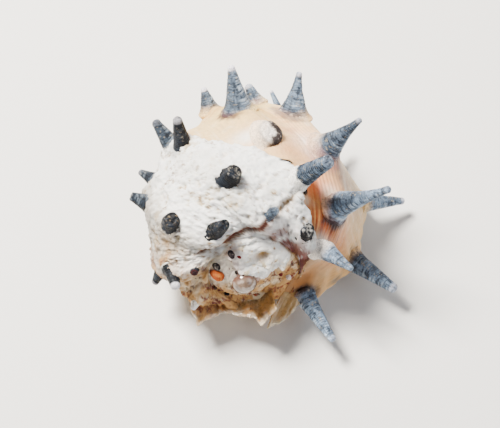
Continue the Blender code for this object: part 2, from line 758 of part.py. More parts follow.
def build_siphon(look):
    """The short breathing siphon beside the head, under the canal."""
    x, z = SIPHON_CENTRE
    start = np.array([x, FOOT_FRONT + SOFT_GAP, z])
    path = [start + np.array([-0.25 * t * t, SIPHON_LENGTH * t, 0.05 * t]) for t in (0.0, 0.35, 0.7, 0.94, 1.0)]
    radii = [1.05 * SIPHON_RADIUS, SIPHON_RADIUS, 0.95 * SIPHON_RADIUS, SIPHON_RADIUS, 0.8 * SIPHON_RADIUS]
    siphon = tapered_tube("siphon", path, radii, 12, look)
    keep_largest(siphon)
    return siphon


body_look = material("chalky_shell", (0.80, 0.76, 0.68), 0.8)
lip_look = material("new_shell", (0.78, 0.55, 0.38), 0.5)
plate_look = material("callus", (0.86, 0.78, 0.62), 0.35)

spire_look = material("crusted_spire", (0.62, 0.50, 0.44), 0.7)
seams = []
build_spire(spire_look, seams)
body, plate = build_body_whorl(body_look, seams)
build_lip_whorl(lip_look, seams)
plate.data.materials.clear()
plate.data.materials.append(plate_look)
flesh_look = material("flesh", (0.80, 0.72, 0.50), 0.45)
operculum_look = material("horn", (0.28, 0.14, 0.07), 0.4)
eye_look = material("eye", (0.02, 0.02, 0.02), 0.15)
build_foot(flesh_look)
build_operculum(operculum_look)
build_head(flesh_look)
build_siphon(flesh_look)
for side in (-1, 1):
    build_tentacle(side, flesh_look, eye_look)
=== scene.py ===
import math

import bpy
import numpy as np
from mathutils import Matrix


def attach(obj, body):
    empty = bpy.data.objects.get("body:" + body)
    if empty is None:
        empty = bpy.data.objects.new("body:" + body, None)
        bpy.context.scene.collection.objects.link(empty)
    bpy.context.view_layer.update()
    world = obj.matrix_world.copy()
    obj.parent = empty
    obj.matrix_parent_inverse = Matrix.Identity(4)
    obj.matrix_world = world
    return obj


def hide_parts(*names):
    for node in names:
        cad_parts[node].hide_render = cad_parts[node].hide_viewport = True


# The looks of a live prickly drupe snail, built in millimetres and turned to metres at the end.
# It faces +Y, the outer lip is on +X, and it rests on the floor at z = 0.
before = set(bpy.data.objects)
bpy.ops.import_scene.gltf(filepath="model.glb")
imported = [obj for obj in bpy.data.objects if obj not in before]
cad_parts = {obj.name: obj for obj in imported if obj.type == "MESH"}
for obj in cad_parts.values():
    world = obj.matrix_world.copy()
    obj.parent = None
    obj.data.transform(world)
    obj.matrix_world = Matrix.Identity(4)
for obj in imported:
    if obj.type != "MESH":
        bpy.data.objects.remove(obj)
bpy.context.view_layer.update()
print("frame loaded")

mm = 0.001

# the shell is a curve along the lip, as radius and height along the axis, that turns round the axis and
# shrinks with age; ages are degrees before the lip, and a place is 0 at the suture and 1 at the canal
shell = {
    "apex": (-0.5, -10.5, 8.4), "tilt": 18.4, "growth": 2.03, "lipDrop": -6.2, "levelLimits": (-0.995, 0.98),
    "canalBend": 1.43, "bendStart": 8.0, "bendSpan": 10.0, "slopeStep": 0.004, "frameStep": (1.0, 0.01),
    "outline": [(5.6, -2.7), (8.6, -3.55), (10.5, -6.1), (11.2, -9.2),
                (10.5, -13.0), (8.3, -17.0), (5.0, -20.2), (2.0, -22.0)],
    "suturePlace": 0.21, "newGrowth": 65.0, "oldest": 371.0, "hidden": 306.0, "sutureBlend": 6.0,
    "ribs": (0, 50, 83, 121, 167, 208, 250, 292, 334, 376, 418), "ribHeight": 0.55, "ribWidth": 9.0,
    "ribFade": (0.06, 0.12), "moundShare": 0.19, "moundSpread": 1.15, "drawnPlace": 0.035,
    "lipLevel": 2.2, "edgeSteps": 2000,
}

# each spine: age, place, length, root radius, end radius, lean with growth, lean towards the canal
lipSpines = {
    "rim1": (3.5, 0.058, 5.2, 0.95, 0.34, 0.10, 0.30),
    "rim2": (4, 0.208, 4.9, 1.05, 0.46, -0.17, -0.24),
    "rim3": (8, 0.378, 4.4, 0.95, 0.34, 0.40, 0.18),
    "rim4": (4, 0.600, 2.0, 0.70, 0.22, 0.00, 0.10),
    "rim5": (4, 0.765, 3.6, 0.60, 0.18, -0.14, 1.20),
    "fold1": (56, 0.074, 4.0, 1.10, 0.28, 0.45, 0.50),
    "fold2": (53, 0.200, 6.2, 1.38, 0.34, 0.00, 0.27),
    "fold3": (53.5, 0.391, 4.9, 1.50, 0.29, -0.08, -0.11),
    "fold4": (50, 0.608, 4.0, 1.42, 0.28, -0.33, -0.02),
    "fold5": (52.5, 0.758, 1.8, 0.85, 0.40, -0.40, 0.40),
}
backSpines = {
    "ridge1": (80, 0.074, 1.1, 0.85, 0.60, 0.20, 0.95),
    "ridge2": (81, 0.227, 4.9, 1.08, 0.58, 0.27, 0.19),
    "ridge3": (85, 0.411, 0.9, 1.35, 1.12, 0.30, -0.40),
    "ridge4": (83, 0.645, 4.2, 1.30, 0.34, -0.09, -0.10),
    "ridge5": (84, 0.866, 2.2, 0.90, 0.30, 0.12, -0.30),
    "crown1": (110.5, 0.094, 1.5, 0.55, 0.36, 1.20, 1.20),
    "crown2": (117, 0.251, 1.8, 0.95, 0.70, 0.50, 0.00),
    "crown3": (128, 0.525, 3.5, 0.95, 0.42, 0.55, -0.22),
    "crown4": (134, 0.583, 3.4, 1.10, 0.42, 0.27, 0.12),
    "side1": (158, 0.087, 2.6, 0.78, 0.48, 1.60, 0.60),
    "side2": (164, 0.221, 1.5, 0.88, 0.64, 0.75, -0.20),
    "side3": (168, 0.430, 2.0, 0.85, 0.40, 0.20, 0.10),
    "side4": (165, 0.620, 1.9, 0.75, 0.30, 0.10, 0.30),
    "low1": (209, 0.062, 0.9, 0.50, 0.32, 0.06, -0.23),
    "low2": (205, 0.166, 2.0, 0.75, 0.44, -0.95, -1.50),
    "low3": (213, 0.310, 1.6, 0.70, 0.34, -0.75, -0.10),
    "under1": (249, 0.120, 1.0, 0.50, 0.26, 0.00, 0.00),
}

tilt = math.radians(shell["tilt"])
apex = np.array(shell["apex"])
toApex = np.array([0.0, -math.cos(tilt), math.sin(tilt)])
toBack = np.array([0.0, math.sin(tilt), math.cos(tilt)])
toRight = np.array([1.0, 0.0, 0.0])
upright = np.array([0.0, 0.0, 1.0])


# an sRGB hex colour as linear red, green and blue
def linear(code):
    value = np.array([int(code[i:i + 2], 16) for i in (0, 2, 4)]) / 255.0
    return np.where(value <= 0.04045, value / 12.92, ((value + 0.055) / 1.055) ** 2.4)


# 0 below low, 1 above high, and a smooth step between
def ease(value, low, high):
    t = np.clip((value - low) / (high - low), 0.0, 1.0)
    return t * t * (3.0 - 2.0 * t)


# a bell of height 1 that falls off with distance over width
def bell(distance, width):
    return np.exp(-(distance / width) ** 2)


# vectors made one long
def unit(vectors):
    return vectors / np.linalg.norm(vectors, axis=-1, keepdims=True)


# a direction, or a grid of directions, times an amount for each point
def scaled(way, amount):
    return np.asarray(amount)[..., None] * way


# points from coordinates that are numbers or arrays
def pointsFrom(*coordinates):
    return np.stack(np.broadcast_arrays(*coordinates), axis=-1)


# even angles once round
def roundAngles(count):
    return np.linspace(0.0, 2.0 * math.pi, count, endpoint=False)


# directions round a circle that starts at the first direction and turns to the second
def spokes(angle, first, second):
    return scaled(first, np.cos(angle)) + scaled(second, np.sin(angle))


# the columns of a table, read at even steps from its first row to its last
def readRows(table, count):
    rows = np.array(table, float)
    where = np.linspace(0.0, len(rows) - 1.0, count)
    return [np.interp(where, np.arange(len(rows)), column) for column in rows.T]


# smooth noise from -1 to 1: random numbers at the corners of cubes of the given size, blended inside
def cubeNoise(points, size, seed):
    place = points / size + 1000.0
    cell = np.floor(place).astype(np.int64)
    t = place - cell
    t = t * t * (3.0 - 2.0 * t)
    total = np.zeros(points.shape[:-1])
    for corner in range(8):
        step = np.array([corner & 1, corner >> 1 & 1, corner >> 2])
        mixed = (cell + step) @ np.array([374761393, 668265263, 1103515245]) + seed * 977
        mixed = (mixed ^ (mixed >> 13)) * 1274126177 & 0xffffffff
        mixed = (mixed ^ (mixed >> 15)) & 0xffff
        total += mixed / 32767.5 * np.prod(np.where(step == 1, t, 1.0 - t), axis=-1)
    return total - 1.0


# noise added to three finer copies of itself, each half the size and a little over half the height
def roughNoise(points, size, seed):
    return sum(0.55 ** layer * cubeNoise(points, size / 2 ** layer, seed + layer) for layer in range(4)) / 1.7


# noise over coordinates of its own, such as age and place, so that it runs along the shell
def patternNoise(noise, seed, x, y, z=0.0):
    return noise(pointsFrom(x, y, z), 1.0, seed)


# a smooth curve through the points, by share of its length (cubic pieces with even slopes)
def smoothCurve(points):
    knots = np.array(points)
    places = np.concatenate([[0.0], np.cumsum(np.hypot(*np.diff(knots, axis=0).T))])
    places = places / places[-1]
    slopes = np.gradient(knots, places, axis=0)

    def at(share):
        share = np.asarray(share, float)
        i = np.clip(np.searchsorted(places, share, side="right") - 1, 0, len(places) - 2)
        span = (places[i + 1] - places[i])[..., None]
        t = (share - places[i])[..., None] / span
        start = (2 * t**3 - 3 * t**2 + 1) * knots[i] + (t**3 - 2 * t**2 + t) * span * slopes[i]
        return start + (3 * t**2 - 2 * t**3) * knots[i + 1] + (t**3 - t**2) * span * slopes[i + 1]

    return at


lipAt = smoothCurve(shell["outline"])


# the angle round the axis where the lip's outline meets the level of the lip's edge
def lipTurn(place):
    radius, along = np.moveaxis(lipAt(place), -1, 0)
    level = (shell["lipDrop"] - along * math.sin(tilt)) / (radius * math.cos(tilt))
    return np.degrees(np.arccos(np.clip(level, *shell["levelLimits"])))


# the size of the whorl at an age, as a share of its size at the lip
def sizeAt(age):
    return shell["growth"] ** (-age / 360.0)


# where the whorl comes out from under the next one
def suturePlace(age):
    blend = shell["sutureBlend"]
    return shell["suturePlace"] * (1.0 - np.clip((shell["hidden"] + blend - age) / (2 * blend), 0.0, 1.0))


# the angle round the axis of the whorl's upper edge
def edgeTurn(age):
    return lipTurn(suturePlace(age)) - age


# from angle, radius and height along the axis to a point; the canal end bends to the left
def toWorld(turn, radius, along):
    along = np.asarray(along)
    point = scaled(spokes(np.radians(turn), toBack, toRight), radius) + scaled(toApex, along) + apex
    bend = np.clip((-along - shell["bendStart"]) / shell["bendSpan"], 0.0, None) ** 2
    return point - scaled(toRight, shell["canalBend"] * bend)


# ribs are bells along the age, faded at the suture and the canal
def ribLift(age, place):
    sutureFade, canalFade = shell["ribFade"]
    fade = np.clip(place / sutureFade, 0.0, 1.0) * np.clip((1.0 - place) / canalFade, 0.0, 1.0)
    return sum(shell["ribHeight"] * bell(age - rib, shell["ribWidth"]) for rib in shell["ribs"]) * fade


# the shell's surface: the lip's outline, moved out by the ribs, shrunk by age and turned by age
def surface(age, place, inset=0.0, ribbed=1.0):
    age, place = np.broadcast_arrays(np.asarray(age, float), np.asarray(place, float))
    step = shell["slopeStep"]
    slope = unit(lipAt(np.clip(place + step, 0.0, 1.0)) - lipAt(np.clip(place - step, 0.0, 1.0)))
    outward = pointsFrom(-slope[..., 1], slope[..., 0])
    profile = lipAt(place) + scaled(outward, ribbed * ribLift(age, place) - inset / sizeAt(age))
    return toWorld(lipTurn(place) - age, *np.moveaxis(scaled(profile, sizeAt(age)), -1, 0))


# surface points with the normal, growth and canal directions of the plain whorl
def surfaceFrame(age, place):
    ageStep, placeStep = shell["frameStep"]
    growth = unit(surface(age - ageStep, place, ribbed=0.0) - surface(age + ageStep, place, ribbed=0.0))
    canal = unit(surface(age, place + placeStep, ribbed=0.0) - surface(age, place - placeStep, ribbed=0.0))
    return surface(age, place), unit(np.cross(growth, canal)), growth, canal


# the direction of a spine: out from the surface, with its two leans
def spineWay(values, normal, growth, canal):
    return unit(normal + values[5] * growth + values[6] * canal)


# how high the surface swells under a spine of a length
def moundHeight(length):
    return shell["moundShare"] * (1.2 + 0.5 * length)


# the surface swells as a bell under each spine, higher under a longer one
def raiseMounds(points):
    moved = points.copy()
    for values in [*lipSpines.values(), *backSpines.values()]:
        age, place, length, root = values[:4]
        here, normal = surfaceFrame(age, place)[:2]
        near = np.linalg.norm(points - here, axis=-1)
        moved += scaled(normal, moundHeight(length) * bell(near, shell["moundSpread"] * (0.6 + root)))
    return moved


# directions straight away from the shell's axis
def awayFromAxis(points):
    away = points - apex
    return unit(away - scaled(toApex, away @ toApex))


# unit normals of a grid of points, from its two slopes, on the side away from the axis
def outwardNormals(points):
    normal = np.cross(np.gradient(points, axis=0), np.gradient(points, axis=1))
    normal = normal / np.maximum(np.linalg.norm(normal, axis=-1, keepdims=True), 1e-9)
    return normal if np.sum(normal * awayFromAxis(points)) > 0 else -normal


# points near the suture drawn in towards the axis, by the most at place 0
def drawIn(points, place, most):
    pull = most * np.clip(1.0 - place / shell["drawnPlace"], 0.0, 1.0) ** 1.5
    return points - scaled(awayFromAxis(points), pull)


# the squares of a grid numbered row by row, closed round its columns if asked
def gridQuads(rows, columns, closed=False):
    i, j = np.meshgrid(np.arange(rows - 1), np.arange(columns - (not closed)), indexing="ij")
    right = (j + 1) % columns
    squares = [i * columns + j, i * columns + right, (i + 1) * columns + right, (i + 1) * columns + j]
    return pointsFrom(*squares).reshape(-1, 4)


# triangles from each step of a closed loop of point numbers to one tip
def fan(loop, tip):
    return pointsFrom(np.roll(loop, -1), loop, tip)


# rings of points closed with a point at each end, which takes the colour beside it
def closeRings(rings, start, end, colour=None):
    rows, columns = rings.shape[:2]
    points = np.concatenate([rings.reshape(-1, 3), [start, end]])
    first = np.arange(columns)
    last = first + (rows - 1) * columns
    tris = np.concatenate([fan(first[::-1], len(points) - 2), fan(last, len(points) - 1)])
    tint = None if colour is None else np.concatenate([colour.reshape(-1, 3), colour[[0, -1], 0]])
    return points, gridQuads(rows, columns, True)[:, ::-1], tris, tint


# a grid whose rows go round the axis: its first column goes on to a seat, and both ends close on the axis;
# each square starts one corner on, so that it splits along its other diagonal
def closeTurns(seat, points, colour, start, end):
    rings = np.concatenate([seat[:, None], points], axis=1).swapaxes(0, 1)
    colour = np.concatenate([colour[:, :1], colour], axis=1).swapaxes(0, 1)
    points, quads, tris, tint = closeRings(rings, start, end, colour)
    return points, np.roll(quads, 1, axis=1), tris, tint


# two grids of points of one shape, closed round the edge into a thin solid without triangles
def closeSheet(upper, lower):
    rows, columns = upper.shape[:2]
    count = rows * columns
    number = np.arange(count).reshape(rows, columns)
    rim = np.concatenate([number[0], number[1:, -1], number[-1, -2::-1], number[-2:0:-1, 0]])
    ahead = np.roll(rim, -1)
    band = pointsFrom(rim, ahead, ahead + count, rim + count)
    sheet = gridQuads(rows, columns)
    points = np.concatenate([upper.reshape(-1, 3), lower.reshape(-1, 3)])
    return points, np.concatenate([sheet[:, ::-1], sheet + count, band]), np.empty((0, 3), int)


# several shapes of points, squares, triangles and colours joined into one
def joinShapes(shapes):
    points, quads, tris, tints = zip(*shapes)
    starts = np.cumsum([0] + [len(part) for part in points])
    quads = np.concatenate([part + start for part, start in zip(quads, starts)])
    tris = np.concatenate([part + start for part, start in zip(tris, starts)])
    return np.concatenate(points), quads, tris, None if tints[0] is None else np.concatenate(tints)


# a mesh from points in mm, squares and triangles
def plainMesh(name, points, quads, tris):
    mesh = bpy.data.meshes.new(name)
    mesh.vertices.add(len(points))
    mesh.vertices.foreach_set("co", (points * mm).ravel())
    loops = np.concatenate([quads.ravel(), tris.ravel()]).astype(np.int32)
    mesh.loops.add(len(loops))
    mesh.loops.foreach_set("vertex_index", loops)
    starts = np.concatenate([np.arange(len(quads)) * 4, 4 * len(quads) + np.arange(len(tris)) * 3])
    mesh.polygons.add(len(starts))
    mesh.polygons.foreach_set("loop_start", starts.astype(np.int32))
    mesh.polygons.foreach_set("use_smooth", np.ones(len(starts), bool))
    mesh.update(calc_edges=True)
    return mesh


# a mesh takes a colour for each point and the material that shows it
def dress(mesh, tint, look):
    layer = mesh.color_attributes.new("tint", "FLOAT_COLOR", "POINT")
    layer.data.foreach_set("color", np.concatenate([tint, np.ones((len(tint), 1))], axis=1).ravel())
    mesh.materials.append(look)


# an object in the scene
def addObject(name, data):
    made = bpy.data.objects.new(name, data)
    bpy.context.scene.collection.objects.link(made)
    return made


# a piece of the visual model; its faces are turned outwards if its volume comes out negative
def makePiece(name, shape, look, replaces=()):
    points, quads, tris, tint = shape
    corners = np.concatenate([quads[:, :3], quads[:, [0, 2, 3]], tris])
    a, b, c = (points[corners[:, k]] for k in range(3))
    if np.einsum("ij,ij->", a, np.cross(b, c)) < 0:
        quads = quads[:, ::-1]
        tris = tris[:, ::-1]
    mesh = plainMesh(name, points, quads, tris)
    dress(mesh, tint, look)
    made = addObject(name, mesh)
    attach(made, "root")
    if replaces:
        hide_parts(*replaces)


# one colour for each point
def plainTint(code, points):
    return np.broadcast_to(linear(code), points.shape)


# colours with other colours laid over them by a share from 0 to 1
def layOver(under, over, share):
    return under + scaled(over - under, np.clip(share, 0.0, 1.0))


# lays marks over a tint in turn: each is a colour and its share
def paint(tint, marks):
    for code, share in marks:
        tint = layOver(tint, linear(code), share)
    return tint


# adds a node: settings are its properties, inputs are values or other nodes' outputs
def addNode(tree, kind, settings=None, inputs=None):
    made = tree.nodes.new(kind)
    for key, value in (settings or {}).items():
        setattr(made, key, value)
    for key, value in (inputs or {}).items():
        if isinstance(value, bpy.types.NodeSocket):
            tree.links.new(value, made.inputs[key])
        else:
            made.inputs[key].default_value = value
    return made


# noise on Object coordinates whose scale is one over its size
def addNoise(tree, where, size, detail):
    return addNode(tree, "ShaderNodeTexNoise", None, {
        "Vector": where, "Scale": 1.0 / (size * mm), "Detail": detail, "Roughness": 0.6}).outputs["Fac"]


# a value stretched from one range to another
def addRange(tree, value, low, high, least, most):
    return addNode(tree, "ShaderNodeMapRange", None, {
        "Value": value, "From Min": low, "From Max": high, "To Min": least, "To Max": most}).outputs["Result"]


# a material with painted tint, finer grain in its colour, and two sizes of bump
def surfaceLook(name, settings):
    look = bpy.data.materials.new(name)
    look.use_nodes = True
    tree = look.node_tree
    inputs = tree.nodes["Principled BSDF"].inputs
    where = addNode(tree, "ShaderNodeTexCoord").outputs["Object"]
    tint = addNode(tree, "ShaderNodeAttribute", {"attribute_name": "tint"}).outputs["Color"]
    grain = addNoise(tree, where, settings["grainSize"], 4.0)
    fine = addNoise(tree, where, settings["fineSize"], 2.0)
    shade = addRange(tree, grain, 0.35, 0.65, 1.0 - settings["grain"], 1.0 + settings["grain"])
    coloured = addNode(tree, "ShaderNodeVectorMath", {"operation": "SCALE"}, {0: tint, "Scale": shade})
    height = addNode(tree, "ShaderNodeMath", {"operation": "MULTIPLY_ADD"},
                     {0: fine, 1: settings["fineShare"], 2: grain})
    bump = addNode(tree, "ShaderNodeBump", None, {
        "Height": height.outputs["Value"], "Distance": settings["bump"] * mm, "Strength": 1.0})
    rough = addRange(tree, fine, 0.3, 0.7, settings["rough"] - 0.08, settings["rough"] + 0.08)
    tree.links.new(coloured.outputs["Vector"], inputs["Base Color"])
    tree.links.new(bump.outputs["Normal"], inputs["Normal"])
    tree.links.new(rough, inputs["Roughness"])
    inputs["Subsurface Weight"].default_value = settings["soft"]
    inputs["Subsurface Radius"].default_value = (1.0, 0.7, 0.5)
    inputs["Subsurface Scale"].default_value = settings["softDepth"] * mm
    inputs["Specular IOR Level"].default_value = settings["shine"]
    inputs["Coat Weight"].default_value = settings["coat"]
    inputs["Coat Roughness"].default_value = 0.15
    return look


# what each surface is made of; the sizes and depths are in mm
lookKeys = ("grainSize", "fineSize", "grain", "fineShare", "bump",
            "rough", "shine", "soft", "softDepth", "coat")
lookValues = {
    # coralline chalk crust on old shell: dry, pitted lime, with a fine sandy tooth
    "chalkyCrust": (0.32, 0.08, 0.07, 0.6, 0.13, 0.82, 0.3, 0.08, 0.25, 0.0),
    # fresh snail shell, laid down in thin layers: smooth lime with a wet gloss
    "freshShell": (0.5, 0.12, 0.08, 0.35, 0.035, 0.38, 0.5, 0.22, 0.6, 0.25),
    # spines: dark ringed shell, fibrous and worn
    "wornSpine": (0.14, 0.05, 0.30, 0.7, 0.06, 0.5, 0.12, 0.02, 0.2, 0.03),
    # thin frills: new shell so thin that light comes through
    "thinFrill": (0.4, 0.1, 0.14, 0.4, 0.05, 0.3, 0.5, 0.12, 0.4, 0.4),
    # the glassy tip of the spire: worn down to translucent old shell
    "glassyTip": (0.3, 0.1, 0.10, 0.2, 0.01, 0.14, 0.5, 0.15, 0.4, 0.8),
    # callus: glazed shell lime
    "glazedCallus": (0.8, 0.2, 0.05, 0.3, 0.02, 0.3, 0.5, 0.2, 0.5, 0.4),
    # living flesh of a sea snail: wet muscle with fine speckles
    "wetFlesh": (0.25, 0.07, 0.18, 0.5, 0.05, 0.35, 0.5, 0.4, 0.8, 0.5),
    # operculum: thin horn in growth layers
    "brownHorn": (0.3, 0.08, 0.15, 0.4, 0.03, 0.4, 0.5, 0.1, 0.3, 0.3),
    # eye: wet black dome
    "wetEye": (0.1, 0.05, 0.05, 0.2, 0.002, 0.12, 0.5, 0.0, 0.1, 0.8),
}
looks = {name: surfaceLook(name, dict(zip(lookKeys, values))) for name, values in lookValues.items()}
print("materials made")

# the crust: its newest edge by place and age, smears of ochre by age and place, the crest that runs down
# the left from the longest dark spine, and the crevice that crosses it, also by age and place
crust = {
    "edge": [(0.0, 58), (0.06, 62), (0.11, 74), (0.185, 80), (0.275, 82), (0.32, 88), (0.375, 95),
             (0.44, 106), (0.51, 116), (0.565, 123), (0.685, 131), (0.8, 142), (1.0, 150)],
    "smears": [(142, 0.30), (160, 0.335), (124, 0.17), (137, 0.195), (94, 0.198), (184, 0.39), (198, 0.2),
               (228, 0.115), (152, 0.6), (172, 0.5), (129, 0.47), (131, 0.66), (186, 0.3)],
    "smearWidth": (8.0, 0.04), "crestSteps": 40, "crestHalf": 0.5, "crestSpread": 0.38,
    "crest": [(131, 0.69), (137, 0.64), (143, 0.575), (147.5, 0.50), (157, 0.50), (168, 0.52)],
    "crevice": [(80, 0.225), (88, 0.16), (99, 0.12), (121, 0.065), (140, 0.045), (164, 0.03), (190, 0.06)],
}


# the age at which the crust starts, by place along the lip: its edge crosses the back
def crustStart(place):
    return np.interp(place, *np.array(crust["edge"]).T)


# a soft spot on the shell by age and place
def spot(age, place, centre, width):
    return bell(np.hypot((age - centre[0]) / width[0], (place - centre[1]) / width[1]), 1.0)


# colours of the fresh shell: cream with yellow, pink, peach and orange fields and growth streaks
def freshTint(points, age, place):
    wide = roughNoise(points, 2.6, 11)
    fine = roughNoise(points, 0.6, 12)
    streak = 0.6 * patternNoise(cubeNoise, 5, age / 1.6, place * 9.0)
    streak = streak + 0.4 * patternNoise(cubeNoise, 6, age / 0.7, place * 14.0)
    cord = patternNoise(roughNoise, 7, age / 30.0, place * 60.0)

    def field(ageCentre, placeCentre, ageWidth, placeWidth):
        return spot(age, place, (ageCentre, placeCentre), (ageWidth, placeWidth))

    return paint(plainTint("efcb90", points), [
        ("ecc765", 0.85 * field(74, 0.68, 26, 0.13) * (0.8 + 0.5 * wide)),
        ("f2bd92", 0.9 * field(62, 0.45, 24, 0.13) * (0.85 + 0.5 * fine)),
        ("f3b27c", 0.9 * field(76, 0.345, 12, 0.05) * (0.8 + 0.5 * wide)),
        ("f2a98c", 0.7 * field(56, 0.60, 8, 0.05) * (0.7 + 0.6 * fine)),
        ("b9807c", 0.8 * field(58, 0.335, 9, 0.05) * (0.8 + 0.5 * fine)),
        ("643a30", 0.85 * field(30, 0.34, 20, 0.12) * (0.85 + 0.4 * wide)),
        ("e8600a", 0.97 * field(68, 0.225, 15, 0.055)),
        ("9c4208", 0.99 * field(62, 0.135, 27, 0.08) * (0.95 + 0.25 * streak)),
        ("b8640a", 0.95 * field(30, 0.15, 22, 0.08) * (0.85 + 0.3 * streak)),
        ("d9a050", 0.8 * field(5, 0.16, 10, 0.10)),
        ("9c5c14", 0.92 * field(26, 0.03, 34, 0.045)),
        ("6b3510", 0.85 * field(2, 0.02, 11, 0.05) * ease(fine, -0.6, 0.2)),
        ("5e2606", 0.8 * ease(streak, 0.15, 0.7) * bell(place - 0.14, 0.09) * ease(age, 14, 34)),
        ("e0a45a", 0.45 * ease(-streak, 0.3, 0.9) * bell(place - 0.15, 0.09)),
        ("8a5648", 0.22 * ease(streak, 0.25, 0.9) * ease(place, 0.3, 0.5)),
        ("fbeedd", 0.30 * ease(-streak, 0.25, 0.9) * ease(place, 0.25, 0.4)),
        ("c9863c", 0.35 * ease(cord, 0.25, 0.7)),
        ("c98f58", 0.45 * ease(wide + 0.5 * fine, 0.15, 0.8)),
        ("fdf0d4", 0.45 * ease(-wide + 0.4 * fine, 0.2, 0.8)),
        ("9a4a1c", 0.95 * field(83, 0.60, 2.2, 0.008)),
        ("fcf6f0", 0.9 * field(93, 0.43, 9, 0.045)),
        ("f6efec", 0.6 * field(61, 0.40, 8, 0.05) * (0.7 + 0.6 * fine)),
        ("352c24", 0.8 * field(4, 0.138, 2.4, 0.018) * ease(fine, -0.5, 0.0)),
        ("744c3c", 0.8 * field(49, 0.305, 9, 0.06) * (0.85 + 0.4 * fine)),
        ("f7f0e6", 0.95 * field(58, 0.075, 8, 0.024)),
        ("e6dcc8", 0.7 * field(58, 0.225, 6, 0.03) * ease(fine, -0.6, 0.0)),
    ])


# colours of the old shell round the spire: tan lime with cream patches, brown blots and maroon veins
def oldTint(points):
    wide = roughNoise(points, 1.7, 75)
    fine = roughNoise(points, 0.6, 74)
    tiny = roughNoise(points, 0.3, 78)
    veins = ease(0.15 - np.abs(roughNoise(points, 0.9, 76)), 0.0, 0.1)
    threads = ease(0.10 - np.abs(roughNoise(points, 0.55, 77)), 0.0, 0.07)
    return paint(plainTint("c2935a", points), [
        ("ecdab8", 0.75 * ease(wide + 0.5 * fine, 0.0, 0.55)),
        ("8f5a2c", 0.8 * ease(-wide + 0.6 * fine, 0.1, 0.65)),
        ("6e2216", 0.8 * threads * ease(0.6 * fine - wide, -0.25, 0.2)),
        ("650f10", 0.9 * veins * ease(fine, -0.15, 0.25)),
        ("2b0b08", 0.75 * ease(tiny + 0.6 * fine, 0.42, 0.62)),
    ])


# how far a point of the shell lies from the crevice, in shares of the lip
def creviceDistance(age, place):
    ages, places = np.array(crust["crevice"]).T
    beyond = np.clip(ages[0] - age, 0.0, None) + np.clip(age - ages[-1], 0.0, None)
    return np.abs(place - np.interp(age, ages, places)) + 0.01 * beyond


# colours of the crust: white chalk, ochre smears, painted shade in the hollows and towards the left side,
# a brown crevice, and old mottled shell towards the spire
def crustTint(points, age, place, hollow):
    wide = roughNoise(points, 2.4, 21)
    fine = roughNoise(points, 0.7, 22)
    tiny = roughNoise(points, 0.3, 23)
    smears = sum(spot(age, place, centre, crust["smearWidth"]) for centre in crust["smears"])
    old = ease(age + 30.0 * wide + 14.0 * fine, 184, 228) * ease(0.75 - place + 0.2 * wide, 0.0, 0.3)
    crack = creviceDistance(age, place) + 0.012 * fine + 0.006 * tiny
    crackShare = ease(fine + 0.3, -0.3, 0.3)
    # how much stain and painted shade the crust takes: least where it is cleanest
    dirtAndShade = 1.0 - 0.75 * spot(age, place, (103, 0.31), (24, 0.12))
    chalk = paint(plainTint("fdfcf8", points), [
        ("d8d2c6", 0.45 * ease(wide, 0.0, 0.6)),
        ("b9a78c", 0.6 * spot(age, place, (186, 0.15), (20, 0.10)) * (0.7 + 0.6 * fine)),
        ("ab8450", 0.75 * spot(age, place, (184, 0.21), (16, 0.09)) * (0.85 + 0.6 * fine)),
        ("d6c196", dirtAndShade * 0.75 * ease(smears * 0.7 + 0.8 * fine + 0.5 * tiny, 0.35, 1.0)),
        ("94703a", dirtAndShade * 0.85 * ease(smears * 0.5 + 0.7 * fine + 0.7 * tiny, 0.68, 1.0)),
        # painted shade: tan and grey in the crust's hollows
        ("c7ae84", dirtAndShade * 0.8 * ease(hollow + 0.6 * tiny, 0.3, 1.1)),
        ("a3927a", dirtAndShade * 0.7 * ease(hollow - 0.5 * fine, 0.8, 1.5)),
        ("7d5a30", dirtAndShade * 0.8 * ease(tiny + 0.5 * fine, 0.36, 0.56)),
        # grey-brown stain and painted shade on the left of the crust, behind the dark spines
        ("66573f", 0.85 * ease(place + 0.06 * fine, 0.50, 0.64) * ease(age + 6.0 * wide, 140, 158)),
        # brown film and painted shade, darker towards the shell's left (-X) side
        ("877a68", 0.8 * ease(apex[0] - points[..., 0] + 0.8 * wide + 0.5 * fine, 5.8, 8.8)),
        ("a8824e", 0.9 * bell(crack, 0.012) * crackShare),
        ("6b2a16", 0.9 * bell(crack, 0.010) * crackShare * ease(age, 98, 110)),
        ("5b1a16", 0.85 * bell(crack, 0.006) * ease(tiny, -0.3, 0.2) * ease(age, 98, 110)),
        ("a3705c", 0.8 * bell(place, 0.06) * ease(-age, -136, -118) * ease(fine + wide, -0.5, 0.1)),
        ("6a1c20", 0.92 * bell(place, 0.055) * ease(-age, -132, -112) * ease(fine, -0.5, 0.05)),
        ("8a5c34", 0.6 * bell(place, 0.03) * ease(fine, 0.0, 0.4)),
    ])
    return layOver(chalk, oldTint(points), old)


